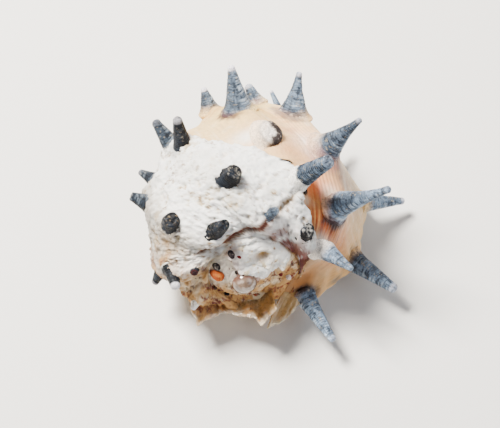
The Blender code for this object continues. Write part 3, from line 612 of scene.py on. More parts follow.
# the crust lies on the shell by a third of a millimetre, lumpy, wrinkled and pitted, with a ragged edge
def crustShape(points, age, place):
    edge = 3.0 * roughNoise(points, 1.1, 31)
    cover = ease(age - crustStart(place) + edge, -0.9, 1.3)
    swell = roughNoise(points, 1.9, 32)
    folds = ease(0.22 - np.abs(roughNoise(points, 1.3, 35)), 0.0, 0.22)
    pits = ease(roughNoise(points, 0.42, 34), 0.22, 0.5)
    crack = bell(creviceDistance(age, place) + 0.008 * swell, 0.010) * ease(swell + 0.9, 0.0, 0.8)
    wrinkle = ease(0.2 - np.abs(patternNoise(roughNoise, 36, age / 7.0, place * 9.0)), 0.0, 0.2)
    # the crest follows the nearest point of its line
    nearest = np.full(age.shape, np.inf)
    for centre in surface(*readRows(crust["crest"], crust["crestSteps"]), ribbed=0.0):
        nearest = np.minimum(nearest, np.linalg.norm(points - centre, axis=-1))
    ridge = bell(np.clip(nearest - crust["crestHalf"] + 0.15 * swell, 0.0, None), crust["crestSpread"])
    lift = 0.28 + 0.19 * swell + 0.13 * folds + 0.12 * wrinkle + 0.11 * roughNoise(points, 0.5, 33)
    lift = lift - 0.19 * pits + 0.42 * ridge - 0.32 * crack
    # the third value is how low a point lies, which sets the painted shade in the hollows
    return cover, cover * lift, -1.5 * swell + 0.9 * pits - 0.8 * folds


# the stain and painted shadow at the root of some spines: its colour and strength, and its side by growth and
# by canal
rootStainsAndShadows = {
    "rim1": ("2a130c", 0.95, -1.0, -0.3), "rim2": ("4a3a30", 0.5, -1.0, -0.3),
    "fold2": ("2b0f16", 0.97, 0.3, -1.0), "fold3": ("8a5a5c", 0.45, -0.3, -1.0),
    "fold4": ("3a2a34", 0.7, -1.0, -0.3), "fold5": ("8a6a6a", 0.5, -1.0, -0.3),
    "ridge4": ("3c1a26", 0.85, -1.0, -0.3), "crown2": ("8d8880", 0.6, -1.0, -0.3),
    "crown3": ("4c4844", 0.5, -1.0, -0.3),
}


# ragged pigment and painted shadow on the shell round the marked spines, on the side of each mark
def spineBases(tint, points, spines):
    for name, values in spines.items():
        if name in rootStainsAndShadows:
            code, amount, growthShare, canalShare = rootStainsAndShadows[name]
            growth, canal = surfaceFrame(*values[:2])[2:]
            gap = (points - surface(*values[:2])) / values[3]
            away = ease(growthShare * (gap @ growth) + canalShare * (gap @ canal), -0.1, 0.9)
            ragged = np.linalg.norm(gap, axis=-1) + 0.30 * roughNoise(points, 0.45, 51)
            tint = paint(tint, [(code, amount * away * ease(-ragged, -1.75, -1.2))])
    return tint


# the marks are a painted shadow, black, under a root, and a black dash on the crust's edge: colour, centre,
# width and how much of the spot is full
backWhorl = {"ages": 430, "places": 205, "newest": 58.0, "sinkFrom": 66.0, "sink": 0.35, "floor": 3.32,
             "lineHeight": 0.018, "seatInset": 0.05, "seatDepth": 1.2, "spireTip": 3.9, "canalTip": 14.5,
             "marks": [("080605", (77.8, 0.206), (3.4, 0.024), 0.5),
                       ("140d0c", (82.4, 0.292), (4.2, 0.011), 0.6)],
             "inside": "d8c8a8"}


# the point on the axis at a height along it
def onAxis(along):
    return toWorld(0.0, 0.0, along)


# the older whorl: the spiral surface with ribs, mounds and crust, closed on the axis, flat underneath
def buildBackWhorl(part):
    steps = np.linspace(shell["oldest"], part["newest"], shell["edgeSteps"])
    turns = edgeTurn(steps)
    ages = np.interp(np.linspace(turns[0], turns[-1], part["ages"]), turns, steps)
    start = suturePlace(ages)[:, None]
    place = start + (1.0 - start) * np.linspace(0.0, 1.0, part["places"])
    age = np.broadcast_to(ages[:, None], place.shape)
    points = raiseMounds(surface(age, place))
    cover, lift, hollow = crustShape(points, age, place)
    lines = part["lineHeight"] * np.sin(age * 2.6 + 2.0 * cubeNoise(points, 2.0, 41)) * (1.0 - cover)
    # the newest few degrees sink under the lip's growth
    sink = part["sink"] * ease(-age, -part["sinkFrom"], -part["newest"])
    points = points + scaled(outwardNormals(points), lift + lines - sink)
    tint = layOver(freshTint(points, age, place), crustTint(points, age, place, hollow), cover)
    # the first mark is a painted shadow under a spine's root
    for code, centre, width, full in part["marks"]:
        tint = paint(tint, [(code, ease(spot(age, place, centre, width), 0.35, full))])
    tint = spineBases(tint, points, backSpines)
    radius, along = lipAt(suturePlace(ages)).T * sizeAt(ages)
    seat = toWorld(edgeTurn(ages), radius - part["seatInset"], along - part["seatDepth"])
    shape = closeTurns(seat, points, tint, onAxis(-part["spireTip"]), onAxis(-part["canalTip"]))
    shape[0][:, 2] = np.maximum(shape[0][:, 2], part["floor"])
    shape[3][-2:] = linear(part["inside"])
    makePiece("backWhorl", shape, looks["chalkyCrust"], ["shell_body_whorl"])


buildBackWhorl(backWhorl)
print("older whorl built")

# wall thickness is a share of the wall by place
newWhorl = {"ages": 130, "places": 330, "oldest": 70.0, "firstPlace": 0.004, "sinkFrom": 64.0, "sink": 0.3,
            "wall": 1.5, "wallShares": [(0.0, 0.5), (0.3, 1.0), (0.6, 0.9), (0.85, 0.45), (1.0, 0.4)],
            "edgeWall": 0.4, "pull": 1.15, "inside": "ead9cc"}


# the newest growth: outer surface with ribs, mounds and growth lines, and an inner wall that thins to the
# lip; the suture edge is drawn in, under the edge of the older whorl
def buildNewWhorl(part):
    ages = np.linspace(part["oldest"], 0.0, part["ages"])
    places = np.linspace(part["firstPlace"], 1.0, part["places"])
    age, place = np.meshgrid(ages, places, indexing="ij")
    outer = raiseMounds(surface(age, place))
    normal = outwardNormals(outer)
    lines = 0.035 * np.sin(age * 3.1 + 2.5 * cubeNoise(outer, 2.5, 61)) + 0.07 * roughNoise(outer, 1.4, 62)
    cords = 0.06 * np.sin(place * 150.0) * ease(-age, -40.0, 0.0)
    sink = part["sink"] * ease(age, part["sinkFrom"], part["oldest"])
    outer = outer + scaled(normal, lines + cords - sink)
    wall = part["wall"] * np.interp(place, *np.array(part["wallShares"]).T)
    wall = np.maximum(wall * ease(age, -3.0, 14.0), part["edgeWall"])
    inner = surface(age, place, inset=wall) + scaled(normal, 0.5 * cords)
    outer = drawIn(outer, place, part["pull"])
    points, quads, tris = closeSheet(outer, inner)
    points[:, 2] = np.maximum(points[:, 2], shell["lipLevel"])
    tint = spineBases(freshTint(outer, age, place), outer, lipSpines)
    tint = np.concatenate([tint, plainTint(part["inside"], inner)]).reshape(-1, 3)
    makePiece("newWhorl", (points, quads, tris, tint), looks["freshShell"], ["shell_outer_lip"])


buildNewWhorl(newWhorl)
print("newest whorl built")

# places on the spire are across (to the right) and upward (to the back) from the axis
spire = {"turns": 420, "rings": 130, "whorls": 4, "overlap": 1.32, "innermost": 0.012, "places": 14,
         "base": 3.4, "block": ((1.40, 2.45), (3.0, 2.0), -26.0), "blockHeight": 0.42,
         "pocket": (1.58, 2.50), "pocketRadius": 0.66, "pocketDepth": 0.5,
         "knob": (-2.59, 0.83), "knobRadius": 0.66, "knobHeight": 0.42,
         "dome": (-0.3, 0.2), "domeClear": 0.95, "domeRadius": 1.12, "domeHeight": 0.95}


# how far in from an oval's edge a point is: 1 at the middle, 0 on the edge, less outside
def ovalDepth(across, upward, centre, half, turn=0.0):
    a = math.radians(turn)
    x = (across - centre[0]) * math.cos(a) + (upward - centre[1]) * math.sin(a)
    y = (upward - centre[1]) * math.cos(a) - (across - centre[0]) * math.sin(a)
    return 1.0 - np.hypot(x / half[0], y / half[1])


# the radius of the spire's edge at some angles, and the height of the older whorls by angle and radius
def spireHeights(part, turns, share):
    ages = np.linspace(shell["oldest"], shell["newGrowth"], shell["edgeSteps"])
    ring = edgeTurn(ages)
    edgeAge = np.interp((turns - ring[0]) % 360.0 + ring[0], ring, ages)
    radius = scaled(share, lipAt(suturePlace(edgeAge))[:, 0] * sizeAt(edgeAge))
    height = np.empty_like(radius)
    place = np.linspace(shell["suturePlace"], 0.0, part["places"])
    earlier = 360.0 * np.arange(part["whorls"] + 1)[:, None]
    for i, turn in enumerate(turns):
        back = lipTurn(place) - turn + earlier
        profile = scaled(lipAt(place), sizeAt(back))
        rise = profile[..., 1] + sizeAt(back) * ribLift(back, place)
        order = np.argsort(profile[..., 0].ravel())
        height[i] = np.interp(radius[i], profile[..., 0].ravel()[order], rise.ravel()[order])
    return radius, height


# colours of the spire: old shell with cream above, maroon beside the block, the white block and the
# orange nodule, with painted shade round the nodule's edge and a painted highlight on its top
def spireTint(points, across, upward, ragged, block, pocket, knob):
    fine = roughNoise(points, 0.55, 74)
    tiny = roughNoise(points, 0.28, 82)
    cream = ease(upward + 2.0 * ragged - 0.25 * across, -0.6, 1.2) * ease(-across + 0.4 * upward, -2.2, 0.4)
    pinkField = ovalDepth(across, upward, (0.4, 1.1), (1.8, 1.0), -20.0)
    redField = ovalDepth(across, upward, (0.9, 0.9), (2.0, 1.0), -30.0)
    maroon = ease(-ovalDepth(across, upward, (1.2, 2.0), (2.9, 1.9), -24.0), 0.0, 0.15)
    maroon = maroon * ease(upward, 0.9, 1.8) * ease(across, 1.2, 2.4)
    return paint(oldTint(points), [
        ("f3e9d8", 0.9 * cream),
        ("a87a46", 0.7 * cream * ease(fine, 0.25, 0.6)),
        ("5d1a18", 0.85 * cream * ease(tiny, 0.42, 0.55)),
        ("e9cfc4", 0.8 * ease(pinkField + ragged, 0.0, 0.3)),
        ("5e1414", 0.8 * ease(redField, 0.0, 0.4) * ease(tiny, 0.3, 0.45)),
        ("6f1c22", 0.9 * maroon * ease(fine, -0.5, 0.0)),
        ("fefcf6", block * (0.97 - 0.3 * ease(fine, 0.3, 0.8))),
        ("e6cf9c", 0.7 * block * ease(fine + 0.5 * tiny, 0.2, 0.6)),
        ("dcc3b8", 0.7 * block * ease(-across + 0.6 * ragged, -0.3, 1.2)),
        ("b98f50", 0.95 * pocket),
        ("6a1d1c", 0.8 * block * ease(tiny + 0.4 * fine, 0.52, 0.66)),
        # painted shade: dark brown round the nodule's edge
        ("5a2c10", ease(knob, 0.02, 0.2)),
        ("a8480c", ease(knob, 0.3, 0.6) * ease(fine + 0.8, 0.0, 0.5)),
        # painted highlight: pale orange on the nodule's top
        ("d98a3c", 0.6 * ease(knob, 0.5, 0.9) * ease(tiny, -0.1, 0.3)),
    ])


# the low spire: the older whorls with a chalk block that has a hollow, an orange nodule, and a crust that
# runs on over the edge of the next whorl
def buildSpire(part):
    turns = np.linspace(0.0, 360.0, part["turns"], endpoint=False)
    share = np.linspace(part["overlap"], part["innermost"], part["rings"])
    radius, height = spireHeights(part, turns, share)
    across = radius * np.sin(np.radians(turns))[:, None]
    upward = radius * np.cos(np.radians(turns))[:, None]
    points = toWorld(turns[:, None], radius, height)
    ragged = 0.28 * roughNoise(points, 1.1, 71)
    block = ease(ovalDepth(across, upward, *part["block"]) + ragged, 0.0, 0.16)
    pocket = np.hypot(across - part["pocket"][0], (upward - part["pocket"][1]) * 1.3)
    pocket = bell(pocket, part["pocketRadius"])
    knob = np.hypot(across - part["knob"][0], upward - part["knob"][1]) / part["knobRadius"]
    knob = np.sqrt(np.clip(1.0 - knob ** 2, 0.0, None))
    outside = ease(-ovalDepth(across, upward, part["dome"], (part["domeClear"],) * 2), -0.1, 0.25)
    rough = 0.16 * roughNoise(points, 0.9, 72) + 0.08 * roughNoise(points, 0.35, 73)
    chunks = 0.20 * roughNoise(points, 1.3, 79) + 0.14 * roughNoise(points, 0.6, 80)
    lip = 0.20 * ease(share, 0.8, 1.0) * (0.6 + roughNoise(points, 1.0, 81))
    fall = (1.3 - 1.25 * block) * ease(share + 0.05 * roughNoise(points, 0.8, 83), 1.0, part["overlap"])
    added = block * (part["blockHeight"] + chunks) - part["pocketDepth"] * pocket + part["knobHeight"] * knob
    height = height + outside * (added + rough + lip) - fall
    points = toWorld(turns[:, None], radius, height)
    tint = spireTint(points, across, upward, ragged, block, pocket, knob)
    seat = toWorld(turns, radius[:, 0] - 0.02, height[:, 0] - 1.0)
    shape = closeTurns(seat, points, tint, onAxis(-part["base"]), onAxis(height[:, -1].mean()))
    makePiece("spire", shape, looks["chalkyCrust"], ["shell_spire"])
    return across, upward, points


spireGrid = buildSpire(spire)


# the point of the spire's surface at a place across and upward from the axis
def onSpire(across, upward):
    near = np.hypot(spireGrid[0] - across, spireGrid[1] - upward)
    return spireGrid[2].reshape(-1, 3)[np.argmin(near)]


# the worn tip of the spire: a round glassy button, the upper half of a ball squashed along the axis, with a
# painted highlight in pale swirls
def buildDome(part):
    lift, turn = np.meshgrid(np.linspace(0.0, 0.5 * math.pi, 30)[:-1], roundAngles(64), indexing="ij")
    centre = onSpire(*part["dome"]) - 0.1 * toApex
    points = centre + scaled(spokes(turn, toBack, toRight), part["domeRadius"] * np.cos(lift))
    points = points + scaled(toApex, part["domeHeight"] * np.sin(lift))
    swirl = roughNoise(points, 0.5, 91)
    points = points + scaled(toApex, 0.03 * swirl)
    colour = paint(plainTint("7c6756", points), [
        # painted highlight in the pale swirls; dark swirls, and darker at the rim
        ("c2b3a8", 0.6 * ease(swirl, 0.1, 0.55)),
        ("4f3c33", 0.8 * ease(-swirl, 0.05, 0.55)),
        ("5a3428", 0.8 * ease(np.cos(lift) + 0.15 * swirl, 0.86, 1.0)),
    ])
    shape = closeRings(points, centre - 0.5 * toApex, centre + part["domeHeight"] * toApex, colour)
    makePiece("spireTip", shape, looks["glassyTip"])


buildDome(spire)
print("spire built")

spineShape = {"step": 0.037, "sides": 40, "sink": 1.25, "ringStep": 0.20, "tipRings": 10, "flare": 0.30,
              "flareReach": 0.35, "curl": 0.10, "thinnest": 0.01}
crustWhite = "f8f5ee"
# how each spine looks: dark (0 pale, 1 black), white at its tip (white shell and a painted glint), ring
# depth, whether its end is broken, how steeply it narrows above the root, and how far up the shell's own
# colour covers it
spineLooks = {
    "rim1": (0.16, 0.15, 0.07, 0, 1.1, -0.4), "rim2": (0.34, 0.30, 0.04, 0, 1.1, 0.0),
    "rim3": (0.25, 0.40, 0.03, 0, 1.1, 0.1), "rim4": (0.45, 0.70, 0.03, 0, 1.2, 0.1),
    "rim5": (0.35, 0.80, 0.03, 0, 1.2, 0.2), "fold1": (0.25, 0.00, 0.04, 0, 1.1, 0.6),
    "fold2": (0.22, 0.05, 0.04, 0, 1.7, -0.4), "fold3": (0.52, 0.25, 0.06, 0, 1.5, 0.1),
    "fold4": (0.36, 0.50, 0.07, 0, 1.5, 0.1), "fold5": (0.45, 0.40, 0.06, 0, 1.2, 0.1),
    "ridge1": (0.98, 0.00, 0.05, 1, 1.0, -0.2), "ridge2": (0.40, 0.00, 0.16, 1, 1.1, 1.1),
    "ridge3": (0.30, 0.00, 0.02, 1, 1.0, 0.5), "ridge4": (0.48, 0.80, 0.03, 0, 1.1, -0.3),
    "ridge5": (0.52, 0.80, 0.07, 0, 1.0, 0.0), "crown1": (0.60, 0.00, 0.05, 0, 1.0, 0.0),
    "crown2": (0.97, 0.00, 0.05, 1, 0.9, -0.2), "crown3": (0.95, 0.30, 0.04, 0, 1.1, 0.0),
    "crown4": (0.78, 0.05, 0.04, 0, 1.1, 0.8), "side1": (0.97, 0.00, 0.05, 1, 0.8, -0.3),
    "side2": (0.96, 0.00, 0.04, 1, 0.9, -0.2), "side3": (0.85, 0.00, 0.05, 1, 1.0, 0.1),
    "side4": (0.85, 0.10, 0.05, 0, 1.0, 0.1), "low1": (0.90, 0.00, 0.04, 1, 1.0, -0.2),
    "low2": (0.97, 0.70, 0.04, 0, 1.1, -0.2), "low3": (0.92, 0.20, 0.04, 0, 1.1, 0.0),
    "under1": (0.00, 1.00, 0.04, 0, 1.1, 0.9),
}
# on a broken end: the colour of the break and how much of it shows
brokenEnds = {"ridge1": ("efece4", 0.08), "ridge2": ("3a2a28", 0.4), "ridge3": ("f8f2ec", 0.97),
              "crown2": ("b9b2a6", -0.05), "side1": ("8f8676", -0.15), "side2": ("a88a5c", -0.08),
              "side3": ("5a5650", 0.2), "low1": ("4a150e", 0.6)}
# a dark rim on the right of a broad worn stump: its colour and how much of it shows
darkRims = {"ridge3": ("14070d", 0.97)}


# rings along a spine's curved axis: share of the length, centre, radius and how far in from the end's edge;
# the radius tapers from a flared root, and the end is a low dome or a flat break
def spineRings(values, look, way, normal, here, part):
    length, root, end = values[2:5]
    broken, waist = look[3:5]
    curl = part["curl"] * length * (way - normal * (way @ normal))
    s = np.linspace(-part["sink"] / length, 1.0, int((length + part["sink"]) / part["step"]))
    rise = s * length
    radius = end + (root - end) * np.clip(1.0 - s, 0.0, 1.0) ** waist
    radius = radius + part["flare"] * root * np.exp(-np.clip(rise - 0.1, 0.0, None) / part["flareReach"])
    radius = radius * (1.0 + 0.6 * np.clip(rise / part["sink"], -1.0, 0.0))
    centre = here + scaled(way, rise) + scaled(curl, s * s - s)
    turned = np.linspace(0.0, 1.0, part["tipRings"] + 1)[1:-1]
    dome = 0.5 * math.pi * (np.minimum(4.0 * turned, 1.0) if broken else turned)
    tipRadius = end * ((1.0 - turned) if broken else np.cos(dome))
    tipCentre = centre[-1] + scaled(way, end * (0.12 if broken else 0.8) * np.sin(dome))
    inward = np.concatenate([np.zeros(len(s)), np.sin(dome)])
    s = np.concatenate([s, 1.0 + 0.02 * np.arange(1, len(dome) + 1)])
    return s, np.concatenate([centre, tipCentre]), np.concatenate([radius, tipRadius]), inward


# one spine: its rings with saw-edged growth rings, lengthwise flutes and wear; the root keeps the shell's
# colour, and pigment starts above it
def spineShapeAt(name, values, part, seed):
    age, place, length = values[:3]
    dark, tipWhiteAndGlint, rings, broken = spineLooks[name][:4]
    here, normal, growth, canal = surfaceFrame(age, place)
    way = spineWay(values, normal, growth, canal)
    s, centre, radius, inward = spineRings(values, spineLooks[name], way, normal, here, part)
    side = unit(np.cross(way, toBack + 0.3 * toRight))
    angle = roundAngles(part["sides"])
    spoke = spokes(angle, side, np.cross(way, side))
    # rings go down the grid and sides across it
    s, radius, inward, centre = s[:, None], radius[:, None], inward[:, None], centre[:, None]
    body = centre + scaled(spoke, radius)
    along = s * length + 0.12 * cubeNoise(body, 0.8, seed)
    tooth = (along / part["ringStep"]) % 1.0
    free = ease(s, 0.0, 0.2) * (1.0 - ease(s, 0.95, 1.0))
    flutes = 0.05 * patternNoise(roughNoise, seed, 1.6 * np.cos(angle), 1.6 * np.sin(angle), seed)
    wear = 0.07 * roughNoise(body, 0.2, seed + 4) * (0.6 + 0.8 * broken)
    wear = 0.10 * roughNoise(body, 0.7, seed + 3) + wear
    grown = radius * (1.0 + rings * (tooth - 0.5) * free + flutes) + wear * np.minimum(radius, 0.55)
    body = centre + scaled(spoke, np.maximum(grown, part["thinnest"]))
    if broken:
        body = body + scaled(way, inward * 0.12 * roughNoise(body, 0.25, seed + 5))
    rough = roughNoise(body, 0.5, seed + 7)
    fine = roughNoise(body, 0.16, seed + 8)
    fibre = patternNoise(roughNoise, seed + 9, 3.5 * np.cos(angle), 3.5 * np.sin(angle), 0.9 * along)
    ring = patternNoise(roughNoise, seed + 10, np.cos(angle), np.sin(angle), 7.0 * along)
    older = -(spoke @ growth)
    pale = (1.0 - dark) ** 1.4
    base = linear("98b0cc") * pale + linear("050406") * (1.0 - pale)
    colour = paint(np.broadcast_to(base, body.shape), [
        ("14161e", 0.75 * ease(ring + 0.4 * fine, 0.08, 0.5) * (0.35 + 0.65 * free)),
        ("0e0f15", (0.4 + 4.0 * rings) * ease(tooth, 0.62, 0.95) * free * ease(rough, -0.6, 0.3)),
        ("262d38", 0.6 * ease(rough + 0.6 * older, 0.0, 0.9)),
        ("c9daea", (0.9 - 0.9 * dark) * ease(-ring - 0.3 * older, 0.12, 0.6)),
        ("0a090c", 0.6 * ease(fibre, 0.2, 0.5)),
        ("b5a890", (0.7 - 0.5 * dark) * ease(fine - 0.4 * fibre, 0.38, 0.6)),
        # white shell and a painted glint at the tip
        ("f3eff7", tipWhiteAndGlint * ease(s, 0.93, 1.0) * ease(rough, -0.9, -0.2)),
    ])
    if name in brokenEnds:
        code, amount = brokenEnds[name]
        colour = paint(colour, [(code, np.clip(amount + 0.5 * fine, 0.0, 1.0) * ease(inward, 0.0, 0.35))])
    # the shell's own colour covers the root, and the root's stain and painted shadow go on up the spine from
    # the shell
    cover = spineLooks[name][5]
    climb = s * length - 0.6 * moundHeight(length) - cover + 0.22 * rough + 0.15 * fine
    if age >= crustStart(place):
        colour = layOver(plainTint(crustWhite, body), colour, ease(climb, -0.15, 0.15))
    else:
        stainAndShadow, amount, growthShare, canalShare = rootStainsAndShadows.get(name, ("000000", 0.0, 0.0, 0.0))
        markedSide = growthShare * (spoke @ growth) + canalShare * (spoke @ canal)
        colour = layOver(freshTint(body, age, place), colour, ease(climb + 0.35 * markedSide, -0.35, 0.75))
        edge = ease(-climb, -0.5, -0.15) * ease(markedSide, -0.1, 0.6) * ease(fine + rough, -0.7, 0.0)
        colour = paint(colour, [(stainAndShadow, amount * edge)])
    if name in darkRims:
        code, amount = darkRims[name]
        rim = ease(radius / values[4], 0.30, 0.48) * ease(s, 0.35, 0.55)
        rim = rim * ease(spoke @ toRight + 0.35 * rough, -0.45, 0.0)
        colour = paint(colour, [(code, amount * rim * ease(fine, -0.9, -0.3))])
    return closeRings(body, centre[0, 0], centre[-1, 0] + 0.02 * way, colour)


# all the spines of a table as one piece
def buildSpines(name, table, seed):
    shapes = []
    for i, (key, values) in enumerate(table.items()):
        shapes.append(spineShapeAt(key, values, spineShape, seed + 17 * i))
    makePiece(name, joinShapes(shapes), looks["wornSpine"])


buildSpines("lipSpines", lipSpines, 300)
buildSpines("backSpines", backSpines, 700)

# worn spine tips on the spire: across, upward, length, radius, colour and lean to the right
spireTips = {"rings": 14, "sides": 18, "tips": [
    (-1.07, 3.34, 0.50, 0.30, "221a1e", 0.2), (-0.89, 1.27, 0.22, 0.15, "150c0c", 0.0),
    (-0.04, 1.05, 0.20, 0.13, "1a0d0c", 0.0), (-2.55, 1.75, 0.42, 0.33, "120d10", 0.3),
    (-2.95, -1.21, 0.30, 0.28, "4a2d1c", -0.2), (-2.0, -2.27, 0.35, 0.26, "140a08", 0.1),
    (-0.45, 3.15, 0.22, 0.16, "5a1216", 0.5), (2.95, -0.55, 0.25, 0.20, "6a1d18", 0.3),
    (3.6, -1.3, 0.30, 0.26, "f0dcd2", 0.3), (0.5, -2.4, 0.25, 0.22, "7a3a1e", 0.0)]}


# the angles of a ball's rings, up without the poles and round
def ballAngles(rings, sides):
    lifts = np.linspace(-0.5 * math.pi, 0.5 * math.pi, rings + 2)[1:-1]
    return np.meshgrid(lifts, roundAngles(sides), indexing="ij")


# low round knobs: a ball stretched along the axis, sunk halfway, rough all over
def buildSpireTips(part):
    lift, turn = ballAngles(part["rings"], part["sides"])
    ring = scaled(spokes(turn, toRight, toBack), np.cos(lift))
    shapes = []
    for i, (across, upward, length, radius, code, lean) in enumerate(part["tips"]):
        reach = length * (toApex + lean * toRight)
        centre = onSpire(across, upward)
        body = centre + radius * ring + scaled(reach, np.sin(lift))
        body = body + scaled(ring, 0.25 * radius * roughNoise(body, 0.3, 900 + i))
        worn = 0.6 * ease(roughNoise(body, 0.12, 930 + i), 0.2, 0.5)
        colour = paint(plainTint(code, body), [("8f857c", worn)])
        shapes.append(closeRings(body, centre - reach, centre + reach, colour))
    makePiece("spireKnobs", joinShapes(shapes), looks["wornSpine"])


buildSpireTips(spireTips)
print("spines built")

# thin frills behind the spire: age, place and reach of each control row, from right to left
collar = {"along": 240, "across": 34, "root": 0.34, "edge": 0.13, "sink": 0.9,
          "rows": [(358, 0.05, 1.9), (348, 0.05, 2.1), (340, 0.05, 2.3), (331, 0.055, 2.75), (325, 0.06, 2.0),
                   (313, 0.065, 1.7), (299, 0.085, 1.25), (289, 0.095, 0.65), (277, 0.11, 1.0),
                   (268, 0.125, 1.6), (260, 0.14, 2.3), (252, 0.17, 1.4), (243, 0.21, 0.4)]}


# the frilled collar: a thin sheet that stands on the shell along the control rows, with a jagged, waved edge
def buildCollar(part):
    age, place, reach = readRows(part["rows"], part["along"])
    here, normal = surfaceFrame(age, place)[:2]
    canal = surfaceFrame(age, place)[3]
    reach = reach * (1.0 + 0.16 * roughNoise(here, 0.5, 501)) - 0.10 * np.abs(roughNoise(here, 0.2, 502))
    root = here - part["sink"] * normal
    edge = here + scaled(normal, reach)
    share = np.linspace(0.0, 1.0, part["across"])
    middle = root[:, None] + scaled((edge - root)[:, None], share)
    wave = 0.16 * roughNoise(middle, 1.1, 510) + 0.05 * roughNoise(middle, 0.35, 511)
    middle = middle - scaled(canal[:, None], wave * share)
    half = scaled(canal[:, None], 0.5 * (part["root"] + (part["edge"] - part["root"]) * share))
    points, quads, tris = closeSheet(middle - half, middle + half)
    share = np.tile(share, 2 * part["along"])
    tint = paint(oldTint(points), [
        ("b0884c", 0.8 * ease(roughNoise(points, 1.4, 511), -0.7, 0.2)),
        ("86622f", 0.55 * ease(roughNoise(points, 0.8, 514), 0.0, 0.5)),
        ("ddd0b8", 0.6 * ease(share + 0.2 * roughNoise(points, 0.5, 512), 0.80, 0.98)),
        ("4a2c18", 0.7 * ease(-share, -0.55, -0.2) * ease(roughNoise(points, 0.5, 513), -0.1, 0.3)),
    ])
    makePiece("frilledCollar", (points, quads, tris, tint), looks["thinFrill"])


# the skirt's edge is a row of points at the end of the lip by the spire
skirt = {"along": 130, "across": 60, "places": (0.014, 0.056), "topAge": 24.0, "footAge": 9.0, "pull": 1.3,
         "thickness": 0.24, "edge": [(0.55, -12.60, 2.85), (1.05, -12.20, 2.6), (1.75, -12.3, 2.6),
                                     (2.6, -11.8, 2.6), (3.3, -11.15, 2.65), (3.9, -10.3, 2.8)]}


# the flared skirt at the end of the lip by the spire: each line across it is a curve that leaves the lip's
# wall, follows its foot and sweeps out to a wavy edge
def buildSkirt(part):
    share = np.linspace(0.0, 1.0, part["along"])[:, None]
    down = np.linspace(0.0, 1.0, part["across"])
    first, last = part["places"]
    place = np.broadcast_to(first + (last - first) * share, (part["along"], part["across"]))
    edge = pointsFrom(*readRows(part["edge"], part["along"]))[:, None]
    top = surface(part["topAge"], place) - 0.25 * toApex
    foot = surface(part["footAge"], place)
    away = awayFromAxis(foot)
    foot = drawIn(foot, place, part["pull"])
    outer = scaled(top, (1.0 - down) ** 2) + scaled(foot, 2.0 * down * (1.0 - down)) + scaled(edge, down ** 2)
    normal = outwardNormals(outer)
    ripple = 0.02 * np.sin(share * 26.0 + 2.0 * roughNoise(outer, 1.5, 522))
    wave = (0.10 * roughNoise(outer, 1.2, 521) + ripple) * down
    ruffle = 0.16 * roughNoise(outer, 0.45, 523) * down ** 6
    outer = outer + scaled(normal, wave) + scaled(away, ruffle)
    outer[..., 2] = np.maximum(outer[..., 2], shell["lipLevel"] + 0.2)
    inner = outer - part["thickness"] * normal
    inner[..., 2] = np.maximum(inner[..., 2], shell["lipLevel"])
    points, quads, tris = closeSheet(outer, inner)
    streak = 0.4 * np.tile(patternNoise(roughNoise, 524, share * 9.0, 0.7 * down).ravel(), 2)
    tint = paint(plainTint("b38e54", points), [
        ("cdb07a", 0.8 * ease(roughNoise(points, 1.4, 525) + streak, -0.3, 0.4)),
        ("8e6630", 0.6 * ease(roughNoise(points, 1.0, 526) - streak, 0.15, 0.6)),
        ("efe2c4", 0.7 * ease(np.tile(down, 2 * part["along"]), 0.82, 1.0)),
    ])
    makePiece("lipSkirt", (points, quads, tris, tint), looks["thinFrill"])


buildCollar(collar)
buildSkirt(skirt)
print("frills built")

# the levels are heights with the share of the full width there
flesh = {"voxel": 0.14, "smooth": 6, "foot": (-0.3, -0.9), "footHalf": (5.8, 8.4), "footTop": 1.86,
         "front": 6.2, "blunt": 0.8, "tailStart": -4.4, "tailTop": 0.95,
         "stalk": (2.5, 2.6), "stalkHalf": (1.8, 2.3),
         "footLevels": [(0.0, 0.95), (0.12, 0.98), (0.35, 1.0), (0.8, 0.99), (1.2, 0.97), (1.55, 0.93),
                        (1.78, 0.87), (1.86, 0.76)],
         "stalkLevels": [(1.0, 1.05), (1.86, 1.0), (2.6, 0.92), (3.4, 0.76), (4.0, 0.58), (4.3, 0.36)],
         "stalkTop": 4.4, "head": (0.6, 1.02), "headHalf": (1.6, 0.72), "headFrom": 5.3, "headTo": 8.6,
         "tentacle": 2.6, "tentacleRadius": 0.42, "tentacleTip": 0.26, "spread": 25.0,
         "eye": 0.3, "lobe": 0.36,
         "siphon": (-2.7, 1.25), "siphonRadius": 0.5, "siphonFrom": 5.3, "siphonTo": 8.35}


# ovals stacked up at the heights of a table of levels
def ovalStack(centre, half, levels, turn, wave):
    height, grow = (column[:, None] for column in np.array(levels).T)
    x = centre[0] + half[0] * grow * wave * np.cos(turn)
    y = centre[1] + half[1] * grow * wave * np.sin(turn)
    return x, y, height


# the foot and its stalk: stacked ovals, the foot with a waved edge, a blunt front and a low tail
def footShapes(part):
    turn = roundAngles(160)
    wave = 1.0 + 0.010 * np.sin(11.0 * turn) + 0.006 * np.sin(23.0 * turn + 1.0)
    x, y, z = ovalStack(part["foot"], part["footHalf"], part["footLevels"], turn, wave)
    front = part["front"] - part["blunt"]
    y = np.where(y > front, front + part["blunt"] * np.tanh((y - front) / part["blunt"]), y)
    body = ease(y, part["tailStart"] - 0.2, part["tailStart"] + 0.4)
    top = part["tailTop"] + (part["footTop"] - part["tailTop"]) * body
    rings = pointsFrom(x, y, np.minimum(z, top))
    foot = closeRings(rings, (*part["foot"], 0.0), (*part["foot"], part["footTop"]))
    rings = pointsFrom(*ovalStack(part["stalk"], part["stalkHalf"], part["stalkLevels"], turn, 1.0))
    stalk = closeRings(rings, (*part["stalk"], 1.0), (*part["stalk"], part["stalkTop"]))
    return [foot, stalk]


# a round-ended tube along a path: half widths sideways and upwards at each point
def tubeShape(path, wide, high):
    side = unit(np.cross(np.gradient(path, axis=0), upright))
    turn = roundAngles(28)
    rings = path[:, None] + scaled(side[:, None], np.outer(wide, np.cos(turn)))
    return closeRings(rings + scaled(upright, np.outer(high, np.sin(turn))), path[0], path[-1])


